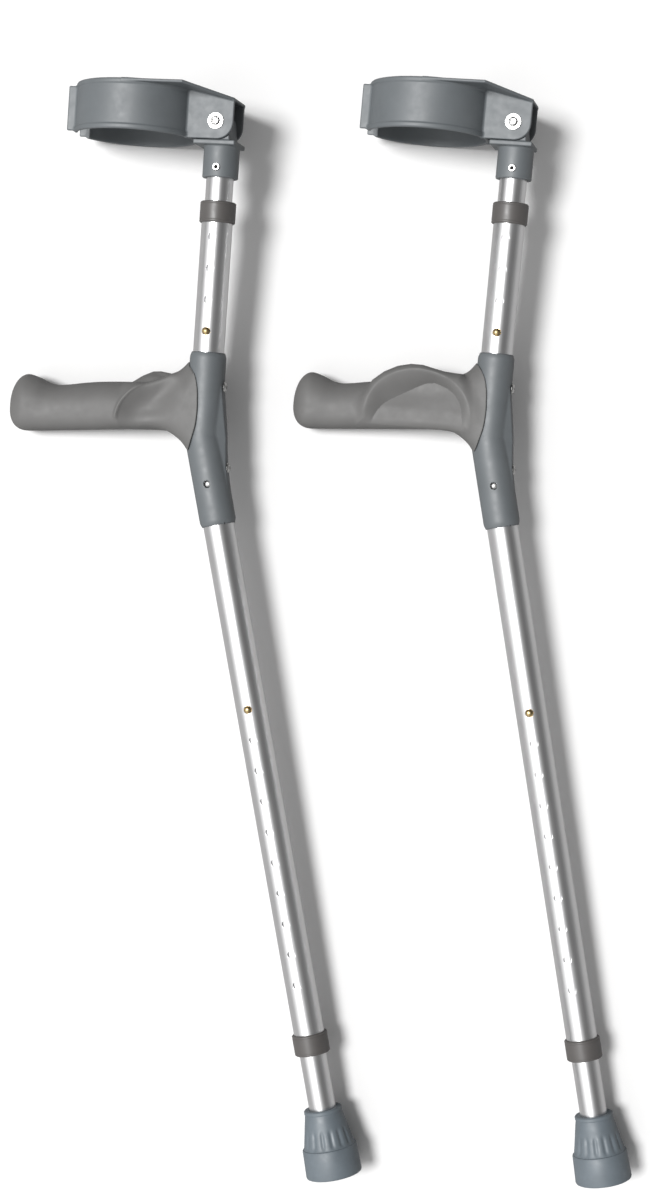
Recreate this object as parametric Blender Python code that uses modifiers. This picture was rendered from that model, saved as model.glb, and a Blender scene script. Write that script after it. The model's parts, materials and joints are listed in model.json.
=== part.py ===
"""A pair of height-adjustable forearm crutches, lying side by side on a floor.

Each crutch is modelled upright in its own frame: the origin is where the axes of the
upper and lower tubes meet, X points forward along the grip, Y to the user's left and
Z up along the upper tube. An empty then lays it down with its left side up, so that
its cuff, its grip and its ferrule touch the floor at z = 0. Lengths are in metres.
"""

import math

import bmesh
import bpy
import numpy as np
from mathutils import Matrix, Vector

MM = 0.001

# Clearances and mesh density
GAP = 0.3 * MM  # between neighbouring or resting pieces
OVERLAP = 1.0 * MM  # how far joined shapes run into each other
MERGE = 0.0005 * MM  # points that a cut leaves this near to each other are one
TUBE_SEGMENTS = 20
CUFF_SEGMENTS = 40
SMALL_SEGMENTS = 10
WASHER_SEGMENTS = 16

# Tubes
BEND_DEG = 14.4  # between the upper tube and the lower tube
OUTER_TUBE_D = 25.4 * MM
INNER_TUBE_D = 22.2 * MM
TUBE_WALL = 1.2 * MM
HOLE_PITCH = 25.4 * MM
ARM_HOLES = 4
SHAFT_HOLES = 10
TUBE_START = 8.0 * MM  # from the bend to the end of either outer tube
ARM_TAIL = 22.0 * MM  # arm tube below its button
SHAFT_TAIL = 24.0 * MM  # shaft tube above its button
ARM_SHOWING = 19.0 * MM  # bare arm tube between collar and socket
SHAFT_SHOWING = 45.7 * MM  # bare shaft tube between collar and ferrule
PAST_LAST_ARM_HOLE = 26.3 * MM
PAST_LAST_SHAFT_HOLE = 56.2 * MM

# Snap buttons and their leaf springs
BUTTON_D = 6.2 * MM
BUTTON_HOLE_D = 7.0 * MM
BUTTON_PROUD = 2.2 * MM
BUTTON_FLANGE_D = 8.2 * MM
BUTTON_FLANGE_T = 0.9 * MM
ARM_BUTTON_ABOVE_SLEEVE = 16.5 * MM
SHAFT_BUTTON_BELOW_SLEEVE = 152.2 * MM
LEAF_T = 0.6 * MM
LEAF_WIDTH = 6.4 * MM
LEAF_LENGTH = 40.0 * MM
LEAF_BEND_R = 3.0 * MM

# Collars
COLLAR_WALL = 1.6 * MM
COLLAR_HEIGHT = 17.2 * MM
COLLAR_LIP = 2.3 * MM  # the end of the collar, closed down to the inner tube

# Handle housing
SLEEVE_WALL = 1.9 * MM
UPPER_SLEEVE_LENGTH = 69.3 * MM
LOWER_SLEEVE_LENGTH = 73.4 * MM
SLEEVE_EDGE = 1.4 * MM  # the chamfer at either end, across
SLEEVE_EDGE_HEIGHT = 3.6 * MM
WEB_T = 20.0 * MM  # gusset across the inside of the bend
WEB_BACK = 18.8 * MM  # from the bend to the gusset's back face
WEB_TOP = 45.0 * MM
WEB_TOP_SUNK = 0.6 * MM
WEB_SHOULDER = 4.0 * MM
WEB_BOTTOM = 66.0 * MM
WEB_FOOT_SLOPE = 10.0 * MM  # how far the foot's edge rises towards the tube's axis
WEB_FOOT_SUNK = 2.6 * MM  # how far its foot lies under the sleeve's face
WEB_BELLY = 22.0 * MM  # height below the bend where the gusset's back face turns
SPIGOT_D = 19.0 * MM
SPIGOT_LENGTH = 118.0 * MM

# Housing rivets and side pin
RIVET_SHANK_D = 4.0 * MM
RIVET_HEAD_D = 7.6 * MM
RIVET_HEAD_T = 1.6 * MM
RIVET_DIMPLE_D = 2.6 * MM
RIVET_DIMPLE_DEPTH = 0.8 * MM
RIVET_PAST_WALL = 2.0 * MM
UPPER_RIVET_AT = 42.0 * MM
LOWER_RIVET_AT = 25.9 * MM
SIDE_PIN_AT = 39.1 * MM
SIDE_PIN_D = 5.0 * MM
SIDE_PIN_SUNK = 0.5 * MM

# Grip
GRIP_LENGTH = 165.0 * MM  # from the upper tube's axis to the tip
GRIP_BOTTOM = 8.3 * MM  # height of its lower edge, carried back to the upper tube's axis
GRIP_DROOP = 0.0726  # fall of its lower edge for each unit forward
GRIP_HALF_WIDTH = 16.6 * MM
GRIP_TIP_ROUND = 16.0 * MM
GRIP_ROOT = 45.0 * MM  # where the straight grip starts to flare into its saddle
GRIP_FLARE_TURN = 25.0 * MM
SADDLE_SKIN = 1.3 * MM  # how far the saddle's edge stands off the sleeve
SADDLE_MIDDLE = 26.0 * MM
SADDLE_HALF_HEIGHT = 34.0 * MM
SADDLE_WRAP_DEG = 97.0
PALM_REST_AT = 60.0 * MM
PALM_REST_HALF_LENGTH = 37.0 * MM
PALM_REST_RISE = 10.6 * MM
PALM_REST_FLARE = 5.0 * MM
THUMB_REST_AT = 21.5 * MM
THUMB_REST_LENGTH = 46.0 * MM
THUMB_REST_HEIGHT = 38.5 * MM
THUMB_REST_DEPTH = 5.5 * MM
THUMB_REST_EDGE = 0.3  # share of its size over which it sinks
GRIP_TOP_POWER = 2.2  # roundness of its section above the middle, 2 is an ellipse
GRIP_LOW_POWER = 3.0
GRIP_TOP_LINE = (  # distance forward, height above the lower edge
    (16.0 * MM, 50.5 * MM),
    (30.0 * MM, 44.0 * MM),
    (45.0 * MM, 40.9 * MM),
    (65.0 * MM, 39.9 * MM),
    (87.0 * MM, 39.5 * MM),
    (104.0 * MM, 38.0 * MM),
    (120.0 * MM, 37.2 * MM),
    (134.0 * MM, 40.6 * MM),
    (147.0 * MM, 45.7 * MM),
    (165.0 * MM, 47.0 * MM),
)
GRIP_SIDES = 28
GRIP_TIP_RINGS = 6
GRIP_BODY_RINGS = 15
GRIP_FLARE_RINGS = 6

# Cuff socket
SOCKET_D = 29.2 * MM
SOCKET_LENGTH = 25.4 * MM
SOCKET_TOP_WALL = 1.7 * MM
PLATE_T = 3.7 * MM
PLATE_FRONT = 18.0 * MM  # from the pivot
PLATE_HALF_WIDTH = 17.1 * MM
PIVOT_HEIGHT = 14.8 * MM  # above the plate
PIVOT_FORWARD = 2.1 * MM  # of the arm tube's axis
KNUCKLE_HALF_WIDTH = 13.9 * MM
KNUCKLE_R = 9.5 * MM
SOCKET_RIVET_BELOW_TOP = 17.8 * MM
SOCKET_RIVET_D = 4.0 * MM
SOCKET_RIVET_HEAD_D = 6.6 * MM
SOCKET_RIVET_BORE_D = 2.4 * MM
SOCKET_RIVET_HEAD_T = 1.0 * MM

# Cuff
CUFF_INNER_R = 47.5 * MM
CUFF_WALL = 3.0 * MM
CUFF_BACK = 20.5 * MM  # from the pivot to the back of the ring
BAND_HEIGHT = 39.8 * MM
BAND_ABOVE_PLATE = 1.2 * MM
FRONT_GAP = 30.0 * MM
LIP_REACH = 6.0 * MM
LIP_T = 2.6 * MM
LIP_HEIGHT = 36.0 * MM
FLANGE_T = 2.4 * MM
FLANGE_DROP = 7.5 * MM
FLANGE_TRIM = 0.3 * MM  # its edge against the ring's width and the cheeks' back
CHEEK_T = 2.8 * MM
CHEEK_BACK = 14.4 * MM  # from the pivot to the cheeks' back edge
CHEEK_CORNER_R = 13.4 * MM
CHEEK_PLAY = 0.4 * MM  # to the knuckle on either side
CHEEK_ABOVE_PLATE = 0.6 * MM

# Cuff pivot rivet and washers
PIVOT_D = 6.0 * MM
PIVOT_HEAD_D = 8.6 * MM
PIVOT_HEAD_T = 1.6 * MM
PIVOT_RIM = 2.2 * MM  # from the head's edge to the crest of its rim
PIVOT_RIM_EDGE = 1.0 * MM
PIVOT_RIM_FALL = 0.3 * MM
PIVOT_DISH = 0.6 * MM
WASHER_D = 13.0 * MM
WASHER_T = 1.0 * MM

# Ferrule
FERRULE_TOP_D = 31.4 * MM
FERRULE_CONE_D = 41.4 * MM
FERRULE_SKIRT_D = 44.8 * MM
FERRULE_BASE_D = 46.2 * MM
FERRULE_HEIGHT = 55.4 * MM
FERRULE_SKIRT_HEIGHT = 23.4 * MM
FERRULE_FLOOR = 8.0 * MM
FERRULE_EDGE = 1.2 * MM
TREAD_DEPTH = 2.5 * MM
TREAD_GROOVES = ((9.0 * MM, 12.0 * MM), (15.0 * MM, 18.0 * MM))
FERRULE_WASHER_T = 2.0 * MM

# Where the crutches lie
CRUTCH_SPACING = 233.5 * MM
CRUTCH_SHIFT = -1.8 * MM
LEAN_DEG = {"right": -4.54, "left": -5.74}
SETTLE_ROUNDS = 12

# Derived places along the upper tube, measured up from the bend
OUTER_R = OUTER_TUBE_D / 2
INNER_R = INNER_TUBE_D / 2
OUTER_BORE_R = OUTER_R - TUBE_WALL
INNER_BORE_R = INNER_R - TUBE_WALL
SLEEVE_BORE_R = OUTER_R + GAP
SLEEVE_R = SLEEVE_BORE_R + SLEEVE_WALL
ARM_BUTTON_AT = UPPER_SLEEVE_LENGTH + ARM_BUTTON_ABOVE_SLEEVE
UPPER_TUBE_END = ARM_BUTTON_AT + (ARM_HOLES - 1) * HOLE_PITCH + PAST_LAST_ARM_HOLE
UPPER_COLLAR_END = UPPER_TUBE_END + GAP + COLLAR_LIP
SOCKET_BOTTOM = UPPER_COLLAR_END + ARM_SHOWING
PLATE_BOTTOM = SOCKET_BOTTOM + SOCKET_LENGTH
PLATE_TOP = PLATE_BOTTOM + PLATE_T
PIVOT_AT = PLATE_TOP + PIVOT_HEIGHT
SOCKET_RIVET_AT = PLATE_BOTTOM - SOCKET_RIVET_BELOW_TOP
SOCKET_BORE_TOP = PLATE_BOTTOM - SOCKET_TOP_WALL
ARM_TUBE_BOTTOM = ARM_BUTTON_AT - ARM_TAIL

# Derived places along the lower tube, measured down from the bend
SHAFT_BUTTON_AT = LOWER_SLEEVE_LENGTH + SHAFT_BUTTON_BELOW_SLEEVE
LOWER_TUBE_END = SHAFT_BUTTON_AT + (SHAFT_HOLES - 1) * HOLE_PITCH + PAST_LAST_SHAFT_HOLE
LOWER_COLLAR_END = LOWER_TUBE_END + GAP + COLLAR_LIP
FERRULE_TOP = LOWER_COLLAR_END + SHAFT_SHOWING
FERRULE_END = FERRULE_TOP + FERRULE_HEIGHT
FERRULE_BORE_END = FERRULE_END - FERRULE_FLOOR
SHAFT_TUBE_END = FERRULE_BORE_END - FERRULE_WASHER_T - 2 * GAP
SHAFT_TUBE_TOP = SHAFT_BUTTON_AT - SHAFT_TAIL

# Derived cuff values
CUFF_R = CUFF_INNER_R + CUFF_WALL
RING_CENTRE = CUFF_BACK + CUFF_R
BAND_BOTTOM = BAND_ABOVE_PLATE - PIVOT_HEIGHT
BAND_TOP = BAND_BOTTOM + BAND_HEIGHT
CHEEK_INNER = KNUCKLE_HALF_WIDTH + CHEEK_PLAY
CHEEK_OUTER = CHEEK_INNER + CHEEK_T
CHEEK_BOTTOM = CHEEK_ABOVE_PLATE - PIVOT_HEIGHT

# Colours: base colour, roughness, metallic
FINISHES = {
    "housing_plastic": ((0.140, 0.163, 0.175), 0.42, 0.0),
    "grip_plastic": ((0.225, 0.222, 0.215), 0.62, 0.0),
    "collar_plastic": ((0.110, 0.104, 0.100), 0.40, 0.0),
    "ferrule_rubber": ((0.118, 0.148, 0.178), 0.60, 0.0),
    "aluminium": ((0.800, 0.800, 0.800), 0.30, 1.0),
    "rivet_steel": ((0.720, 0.720, 0.710), 0.28, 1.0),
    "button_brass": ((0.620, 0.450, 0.200), 0.30, 1.0),
    "spring_steel": ((0.350, 0.350, 0.360), 0.35, 1.0),
}


# Scene helpers

def clear_scene():
    """Remove every object that the file holds."""
    for obj in list(bpy.data.objects):
        bpy.data.objects.remove(obj, do_unlink=True)


def new_collection(name):
    """Add a collection to the scene."""
    collection = bpy.data.collections.new(name)
    bpy.context.scene.collection.children.link(collection)
    return collection


def make_materials():
    """One Principled material for each finish."""
    materials = {}
    for name, (colour, roughness, metallic) in FINISHES.items():
        material = bpy.data.materials.new(name)
        material.use_nodes = True
        shader = material.node_tree.nodes["Principled BSDF"]
        shader.inputs["Base Color"].default_value = (*colour, 1.0)
        shader.inputs["Roughness"].default_value = roughness
        shader.inputs["Metallic"].default_value = metallic
        material.diffuse_color = (*colour, 1.0)
        materials[name] = material
    return materials


def new_empty(name, parent, location=(0, 0, 0), rotation=(0, 0, 0)):
    """An axis or frame that parts hang on."""
    empty = bpy.data.objects.new(name, None)
    empty.empty_display_size = 0.02
    empty.parent = parent
    empty.location = location
    empty.rotation_euler = rotation
    PARTS.objects.link(empty)
    return empty


def new_tool(name, mesh):
    """A shape that is joined to a part or cut out of it."""
    obj = bpy.data.objects.new(name, mesh)
    obj.hide_render = True
    obj.display_type = "WIRE"
    CUTTERS.objects.link(obj)
    return obj


def evaluated_mesh(obj):
    """The object's mesh with its modifiers applied."""
    depsgraph = bpy.context.evaluated_depsgraph_get()
    return bpy.data.meshes.new_from_object(obj.evaluated_get(depsgraph))


def place_part(tool, name, parent, finish, location=(0, 0, 0), rotation=(0, 0, 0)):
    """Turn a finished shape into a named part of the crutch."""
    mesh = evaluated_mesh(tool)
    bpy.data.objects.remove(tool, do_unlink=True)
    mesh.name = name
    mesh.shade_smooth()
    mesh.set_sharp_from_angle(angle=math.radians(35))
    mesh.materials.clear()
    mesh.materials.append(MATERIALS[finish])
    part = bpy.data.objects.new(name, mesh)
    part.parent = parent
    part.location = location
    part.rotation_euler = rotation
    PARTS.objects.link(part)
    return part


# Shape helpers

def turned(name, profile, segments=TUBE_SEGMENTS, closed=False):
    """A profile of (radius, height) points turned about Z; its outer side runs down."""
    mesh = bpy.data.meshes.new(name)
    shape = bmesh.new()
    verts = [shape.verts.new((radius, 0, height)) for radius, height in profile]
    for start, end in zip(verts, verts[1:]):
        shape.edges.new((start, end))
    if closed:
        shape.edges.new((verts[-1], verts[0]))
    shape.to_mesh(mesh)
    shape.free()
    tool = new_tool(name, mesh)
    screw = tool.modifiers.new("Turn", "SCREW")
    screw.axis = "Z"
    screw.angle = math.tau
    screw.steps = segments
    screw.render_steps = segments
    screw.use_merge_vertices = True
    screw.merge_threshold = 0.00001
    return baked(tool)


def merge_doubles(mesh):
    """Merge the points that a cut leaves in one place, which could open an edge later."""
    shape = bmesh.new()
    shape.from_mesh(mesh)
    bmesh.ops.remove_doubles(shape, verts=shape.verts, dist=MERGE)
    shape.to_mesh(mesh)
    shape.free()


def baked(tool):
    """Apply a tool's modifiers and put its scale, place and turn into its mesh."""
    mesh = evaluated_mesh(tool)
    merge_doubles(mesh)
    mesh.transform(tool.matrix_basis)
    name = tool.name
    bpy.data.objects.remove(tool, do_unlink=True)
    return new_tool(name, mesh)


def tube(name, outer_r, inner_r, bottom, top, segments=TUBE_SEGMENTS):
    """A hollow tube along Z."""
    profile = ((outer_r, top), (outer_r, bottom), (inner_r, bottom), (inner_r, top))
    return turned(name, profile, segments, closed=True)


def rod(name, radius, bottom, top, segments=TUBE_SEGMENTS):
    """A solid cylinder along Z."""
    profile = ((0, top), (radius, top), (radius, bottom), (0, bottom))
    return turned(name, profile, segments)


def block(name, low, high):
    """A box between two corners."""
    mesh = bpy.data.meshes.new(name)
    shape = bmesh.new()
    bmesh.ops.create_cube(shape, size=1.0)
    size = Vector(high) - Vector(low)
    middle = (Vector(high) + Vector(low)) / 2
    shape.transform(Matrix.Translation(middle) @ Matrix.Diagonal((*size, 1)))
    shape.to_mesh(mesh)
    shape.free()
    return new_tool(name, mesh)


def slab(name, outline, thickness):
    """A flat outline in XY, filled and extruded both ways from z = 0."""
    curve = bpy.data.curves.new(name, "CURVE")
    curve.dimensions = "2D"
    curve.fill_mode = "BOTH"
    curve.extrude = thickness / 2
    spline = curve.splines.new("POLY")
    spline.points.add(len(outline) - 1)
    for point, (across, along) in zip(spline.points, outline):
        point.co = (across, along, 0, 1)
    spline.use_cyclic_u = True
    tool = new_tool(name, curve)
    mesh = evaluated_mesh(tool)
    bpy.data.objects.remove(tool, do_unlink=True)
    shape = bmesh.new()
    shape.from_mesh(mesh)
    bmesh.ops.remove_doubles(shape, verts=shape.verts, dist=0.000001)
    bmesh.ops.recalc_face_normals(shape, faces=shape.faces)
    shape.to_mesh(mesh)
    shape.free()
    return new_tool(name, mesh)


def side_slab(name, outline, thickness, middle=0.0):
    """A flat outline of (x, z) points, extruded along Y about the given y."""
    tool = slab(name, outline, thickness)
    tool.data.transform(Matrix.Rotation(math.radians(90), 4, "X"))
    tool.data.transform(Matrix.Translation((0, middle, 0)))
    return tool


def moved(tool, location=(0, 0, 0), turn=None):
    """Turn a tool's mesh, then shift it."""
    if turn is not None:
        tool.data.transform(turn)
    tool.data.transform(Matrix.Translation(location))
    return tool


def along_y(tool):
    """Turn a tool from the Z axis to the Y axis, with its top towards +Y."""
    return moved(tool, turn=Matrix.Rotation(math.radians(-90), 4, "X"))


def combine(target, tools, operation, solver="EXACT"):
    """Join tools to the target, or cut them out of it, and use them up."""
    for tool in tools:
        step = target.modifiers.new(tool.name, "BOOLEAN")
        step.operation = operation
        step.solver = solver
        step.object = tool
        target = baked(target)
        bpy.data.objects.remove(tool, do_unlink=True)
    return target


def half_side(segments):
    """Turn about Z by half a side, which keeps a shape's corners off another's seams."""
    return Matrix.Rotation(math.pi / segments, 4, "Z")


def arc(centre, radius, start_deg, end_deg, steps):
    """Points of an arc in a plane."""
    points = []
    for step in range(steps + 1):
        angle = math.radians(start_deg + (end_deg - start_deg) * step / steps)
        points.append((centre[0] + radius * math.cos(angle), centre[1] + radius * math.sin(angle)))
    return points


def side_hole(radius, height, reach):
    """A cutter through the wall that faces +Y."""
    cutter = along_y(rod("hole", radius, 0.0, reach, SMALL_SEGMENTS))
    return moved(cutter, (0, 0, height))


def smooth_line(points, places):
    """Read a smooth curve through the points (Catmull-Rom) at the given places."""
    at = np.array([point[0] for point in points])
    value = np.array([point[1] for point in points])
    slope = np.gradient(value, at)
    index = np.clip(np.searchsorted(at, places) - 1, 0, len(at) - 2)
    span = at[index + 1] - at[index]
    t = (places - at[index]) / span
    start = (1 + 2 * t) * (1 - t) ** 2 * value[index] + t * (1 - t) ** 2 * span * slope[index]
    end = t * t * (3 - 2 * t) * value[index + 1] - t * t * (1 - t) * span * slope[index + 1]
    return start + end


# Tubes, collars and snap buttons

def outer_tube(name, end, button_at, holes):
    """An outer tube from near the bend to its end, with a row of holes on its +Y side."""
    shape = tube(name, OUTER_R, OUTER_BORE_R, TUBE_START, end)
    cutters = []
    for number in range(holes):
        height = button_at + number * HOLE_PITCH
        cutters.append(side_hole(BUTTON_HOLE_D / 2, height, OUTER_TUBE_D))
    return combine(shape, cutters, "DIFFERENCE")


def collar(name):
    """A bush over the end of an outer tube; z = 0 is its closed-down end."""
    outer = SLEEVE_BORE_R + COLLAR_WALL
    edge = 0.6 * MM
    throat = INNER_R + GAP
    profile = (
        (throat, 0),
        (outer - edge, 0),
        (outer, -edge),
        (outer, edge - COLLAR_HEIGHT),
        (outer - edge, -COLLAR_HEIGHT),
        (SLEEVE_BORE_R, -COLLAR_HEIGHT),
        (SLEEVE_BORE_R, -COLLAR_LIP),
        (throat, -COLLAR_LIP),
    )
    return turned(name, profile, closed=True)


def snap_button(name):
    """A flanged pin along Y; y = 0 is the tube's axis."""
    radius = BUTTON_D / 2
    shoulder = OUTER_R + BUTTON_PROUD
    flange_top = flange_height()
    flange_bottom = flange_top - BUTTON_FLANGE_T
    profile = (
        (0, shoulder),
        (radius * 0.55, shoulder - 0.35 * MM),
        (radius * 0.88, shoulder - 1.1 * MM),
        (radius, shoulder - 2.0 * MM),
        (radius, flange_top),
        (BUTTON_FLANGE_D / 2, flange_top),
        (BUTTON_FLANGE_D / 2, flange_bottom),
        (0, flange_bottom),
    )
    return along_y(turned(name, profile, SMALL_SEGMENTS))


def flange_height():
    """Height of the button flange's outer face, just inside the inner tube's bore."""
    room = INNER_BORE_R * math.cos(math.pi / TUBE_SEGMENTS) - GAP
    return math.sqrt(room ** 2 - (BUTTON_FLANGE_D / 2) ** 2)


def leaf_spring(name):
    """A strip bent to a narrow V, its two legs against the bore and under the button."""
    room = INNER_BORE_R * math.cos(math.pi / TUBE_SEGMENTS) - GAP
    button_leg = flange_height() - BUTTON_FLANGE_T - GAP
    wall_leg = -math.sqrt(room ** 2 - (LEAF_WIDTH / 2) ** 2)
    foot = BUTTON_FLANGE_D / 2 + 1.0 * MM
    bend_at = LEAF_LENGTH - foot - LEAF_BEND_R
    middle = (button_leg + wall_leg) / 2
    outside = [(button_leg, -foot), (button_leg, foot)]
    outside += arc((middle, bend_at), LEAF_BEND_R, 0, 180, 8)
    outside += [(wall_leg, foot), (wall_leg, -foot)]
    inside = [(wall_leg + LEAF_T, -foot), (wall_leg + LEAF_T, foot)]
    inside += arc((middle, bend_at), LEAF_BEND_R - LEAF_T, 180, 0, 8)
    inside += [(button_leg - LEAF_T, foot), (button_leg - LEAF_T, -foot)]
    shape = side_slab(name, outside + inside, LEAF_WIDTH)
    return moved(shape, turn=Matrix.Rotation(math.radians(90), 4, "Z"))


def arm_tube():
    """The upper inner tube, with its button hole and its rivet holes."""
    shape = tube("arm_tube", INNER_R, INNER_BORE_R, ARM_TUBE_BOTTOM, SOCKET_BORE_TOP - GAP)
    button_hole = side_hole(BUTTON_HOLE_D / 2, ARM_BUTTON_AT, OUTER_TUBE_D)
    rivet_hole = rod("rivet_hole", SOCKET_RIVET_D / 2 + GAP, -SOCKET_D, SOCKET_D, SMALL_SEGMENTS)
    rivet_hole = moved(along_y(rivet_hole), (0, 0, SOCKET_RIVET_AT))
    return combine(shape, [button_hole, rivet_hole], "DIFFERENCE")


def shaft_tube():
    """The lower inner tube in the lower frame, where z is minus the distance down."""
    shape = tube("shaft_tube", INNER_R, INNER_BORE_R, -SHAFT_TUBE_END, -SHAFT_TUBE_TOP)
    button_hole = side_hole(BUTTON_HOLE_D / 2, -SHAFT_BUTTON_AT, OUTER_TUBE_D)
    return combine(shape, [button_hole], "DIFFERENCE")


# Handle housing and what fastens the tubes in it

def sleeve(name, radius, length):
    """A solid sleeve along Z, which starts far enough below the bend to mitre with another."""
    start = -1.1 * radius * math.tan(math.radians(BEND_DEG / 2))
    profile = (
        (0, length),
        (radius - SLEEVE_EDGE, length),
        (radius, length - SLEEVE_EDGE_HEIGHT),
        (radius, start),
        (0, start),
    )
    return turned(name, profile)


def sleeve_shapes(radius, upper_length, lower_length):
    """Upper and lower sleeve, which meet at the bend."""
    upper = sleeve("upper_sleeve", radius, upper_length)
    lower = sleeve("lower_sleeve", radius, lower_length)
    return [upper, moved(lower, turn=down_the_shaft())]


def down_the_shaft():
    """Turn that takes +Z to the direction down the lower tube."""
    return LOWER_FRAME @ Matrix.Rotation(math.pi, 4, "X")


def behind_lower(height, distance):
    """Point (x, z) at a distance behind the lower tube's axis, at a height."""
    bend = math.radians(BEND_DEG)
    return (height * math.tan(bend) - distance / math.cos(bend), height)


def web_outline():
    """The gusset on the inside of the bend, seen from the side."""
    belly = behind_lower(-WEB_BELLY, SLEEVE_R)
    foot = behind_lower(-WEB_BOTTOM, SLEEVE_R - WEB_FOOT_SUNK)
    return [
        (0, WEB_TOP),
        (-SLEEVE_R / 2, WEB_TOP + WEB_SHOULDER),
        (WEB_TOP_SUNK - SLEEVE_R, WEB_TOP),
        (-WEB_BACK, 0),
        (min(belly[0], -WEB_BACK) - OVERLAP, -WEB_BELLY),
        foot,
        (foot[0] + SLEEVE_R, WEB_FOOT_SLOPE - WEB_BOTTOM),
    ]


def grip_axis():
    """Turn and start of the spigot and the grip's bore: x forward, falling with the grip."""
    middle = (grip_top_line(GRIP_ROOT) + grip_bottom_line(GRIP_ROOT)) / 2
    start = (0, 0, middle + GRIP_DROOP * GRIP_ROOT)
    turn = Matrix.Rotation(math.radians(90) + math.atan(GRIP_DROOP), 4, "Y")
    return start, turn @ half_side(TUBE_SEGMENTS)


def housing():
    """Sleeves, gusset and spigot in one moulding, bored for both tubes."""
    base, lower = sleeve_shapes(SLEEVE_R, UPPER_SLEEVE_LENGTH, LOWER_SLEEVE_LENGTH)
    web = side_slab("web", web_outline(), WEB_T)
    start, turn = grip_axis()
    spigot = moved(rod("spigot", SPIGOT_D / 2, 0.0, SPIGOT_LENGTH), start, turn)
    shape = combine(base, [web, lower, spigot], "UNION")
    bore = SLEEVE_BORE_R
    end = TUBE_START - GAP
    upper_bore = rod("upper_bore", bore, end, UPPER_SLEEVE_LENGTH + OVERLAP)
    lower_bore = rod("lower_bore", bore, end, LOWER_SLEEVE_LENGTH + OVERLAP)
    cutters = [upper_bore, moved(lower_bore, turn=down_the_shaft())]
    cutters += [rear_hole(UPPER_RIVET_AT, False), rear_hole(LOWER_RIVET_AT, True)]
    pin_hole = along_y(rod("pin_hole", SIDE_PIN_D / 2 + GAP, 0.0, OUTER_TUBE_D, SMALL_SEGMENTS))
    cutters.append(moved(pin_hole, LOWER_FRAME @ Vector((0, 0, -SIDE_PIN_AT))))
    return combine(shape, cutters, "DIFFERENCE")


def web_lean():
    """How far the gusset's back face leans from upright below the bend."""
    corner = web_outline()[4]
    return math.atan2(-WEB_BACK - corner[0], WEB_BELLY)


def rear_turn(lower):
    """Turn that takes +Z to the rear, square to the upper tube or to the gusset's face."""
    lean = web_lean() if lower else 0.0
    return Matrix.Rotation(lean - math.pi / 2, 4, "Y") @ half_side(SMALL_SEGMENTS)


def rear_place(distance, lower):
    """Point on the upper or the lower tube's axis."""
    if lower:
        return LOWER_FRAME @ Vector((0, 0, -distance))
    return Vector((0, 0, distance))


def rear_hole(distance, lower, radius=RIVET_SHANK_D / 2 + GAP):
    """A cutter from a tube's axis out through its rear wall."""
    cutter = rod("rear_hole", radius, 0.0, 2 * OUTER_TUBE_D, SMALL_SEGMENTS)
    return moved(cutter, rear_place(distance, lower), rear_turn(lower))


def rear_face(distance, lower):
    """How far the housing's rear face is from the tube's axis at a rivet."""
    if not lower:
        return SLEEVE_R
    to_face = Vector((-WEB_BACK, 0, 0)) - rear_place(distance, lower)
    return to_face.dot(rear_turn(lower) @ Vector((0, 0, 1)))


def rear_rivet(name, distance, lower):
    """A blind rivet from the rear face into the tube, with a dimpled head."""
    seat = rear_face(distance, lower) + GAP
    foot = OUTER_BORE_R - RIVET_PAST_WALL
    head = seat + RIVET_HEAD_T
    dimple = RIVET_DIMPLE_D / 2
    profile = (
        (0, head - RIVET_DIMPLE_DEPTH),
        (dimple, head - RIVET_DIMPLE_DEPTH),
        (dimple + 0.3 * MM, head),
        (RIVET_HEAD_D / 2 - 0.9 * MM, head - 0.4 * MM),
        (RIVET_HEAD_D / 2, seat),
        (RIVET_SHANK_D / 2, seat),
        (RIVET_SHANK_D / 2, foot),
        (0, foot),
    )
    shape = turned(name, profile, SMALL_SEGMENTS)
    return moved(shape, rear_place(distance, lower), rear_turn(lower))


def side_pin():
    """A round pin in the side of the lower sleeve, sunk just below its face."""
    radius = SIDE_PIN_D / 2
    face = SLEEVE_R - SIDE_PIN_SUNK
    foot = OUTER_BORE_R - RIVET_PAST_WALL
    profile = (
        (0, face),
        (radius * 0.6, face - 0.15 * MM),
        (radius, face - 0.6 * MM),
        (radius, foot),
        (0, foot),
    )
    return along_y(turned("side_pin", profile, SMALL_SEGMENTS))


def drill_outer_tubes(upper, lower):
    """Holes in the outer tubes for the housing's rivets and the side pin."""
    upper = combine(upper, [rear_hole(UPPER_RIVET_AT, False)], "DIFFERENCE")
    to_lower = LOWER_FRAME.inverted()
    rear = rear_hole(LOWER_RIVET_AT, True)
    rear.data.transform(to_lower)
    pin = side_hole(SIDE_PIN_D / 2 + GAP, SIDE_PIN_AT, OUTER_TUBE_D)
    pin.data.transform(Matrix.Rotation(math.pi, 4, "Y"))
    lower = combine(lower, [rear, pin], "DIFFERENCE")
    return upper, lower


# Grip

def grip_bottom_line(forward):
    """Height of the grip's lower edge."""
    return GRIP_BOTTOM - GRIP_DROOP * forward


def grip_top_line(forward):
    """Height of the grip's upper edge, without the palm rest."""
    scale = GRIP_LENGTH / GRIP_TOP_LINE[-1][0]
    line = [(at * scale, value) for at, value in GRIP_TOP_LINE]
    height = smooth_line(line, np.array([forward]))[0]
    return grip_bottom_line(forward) + height


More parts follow.
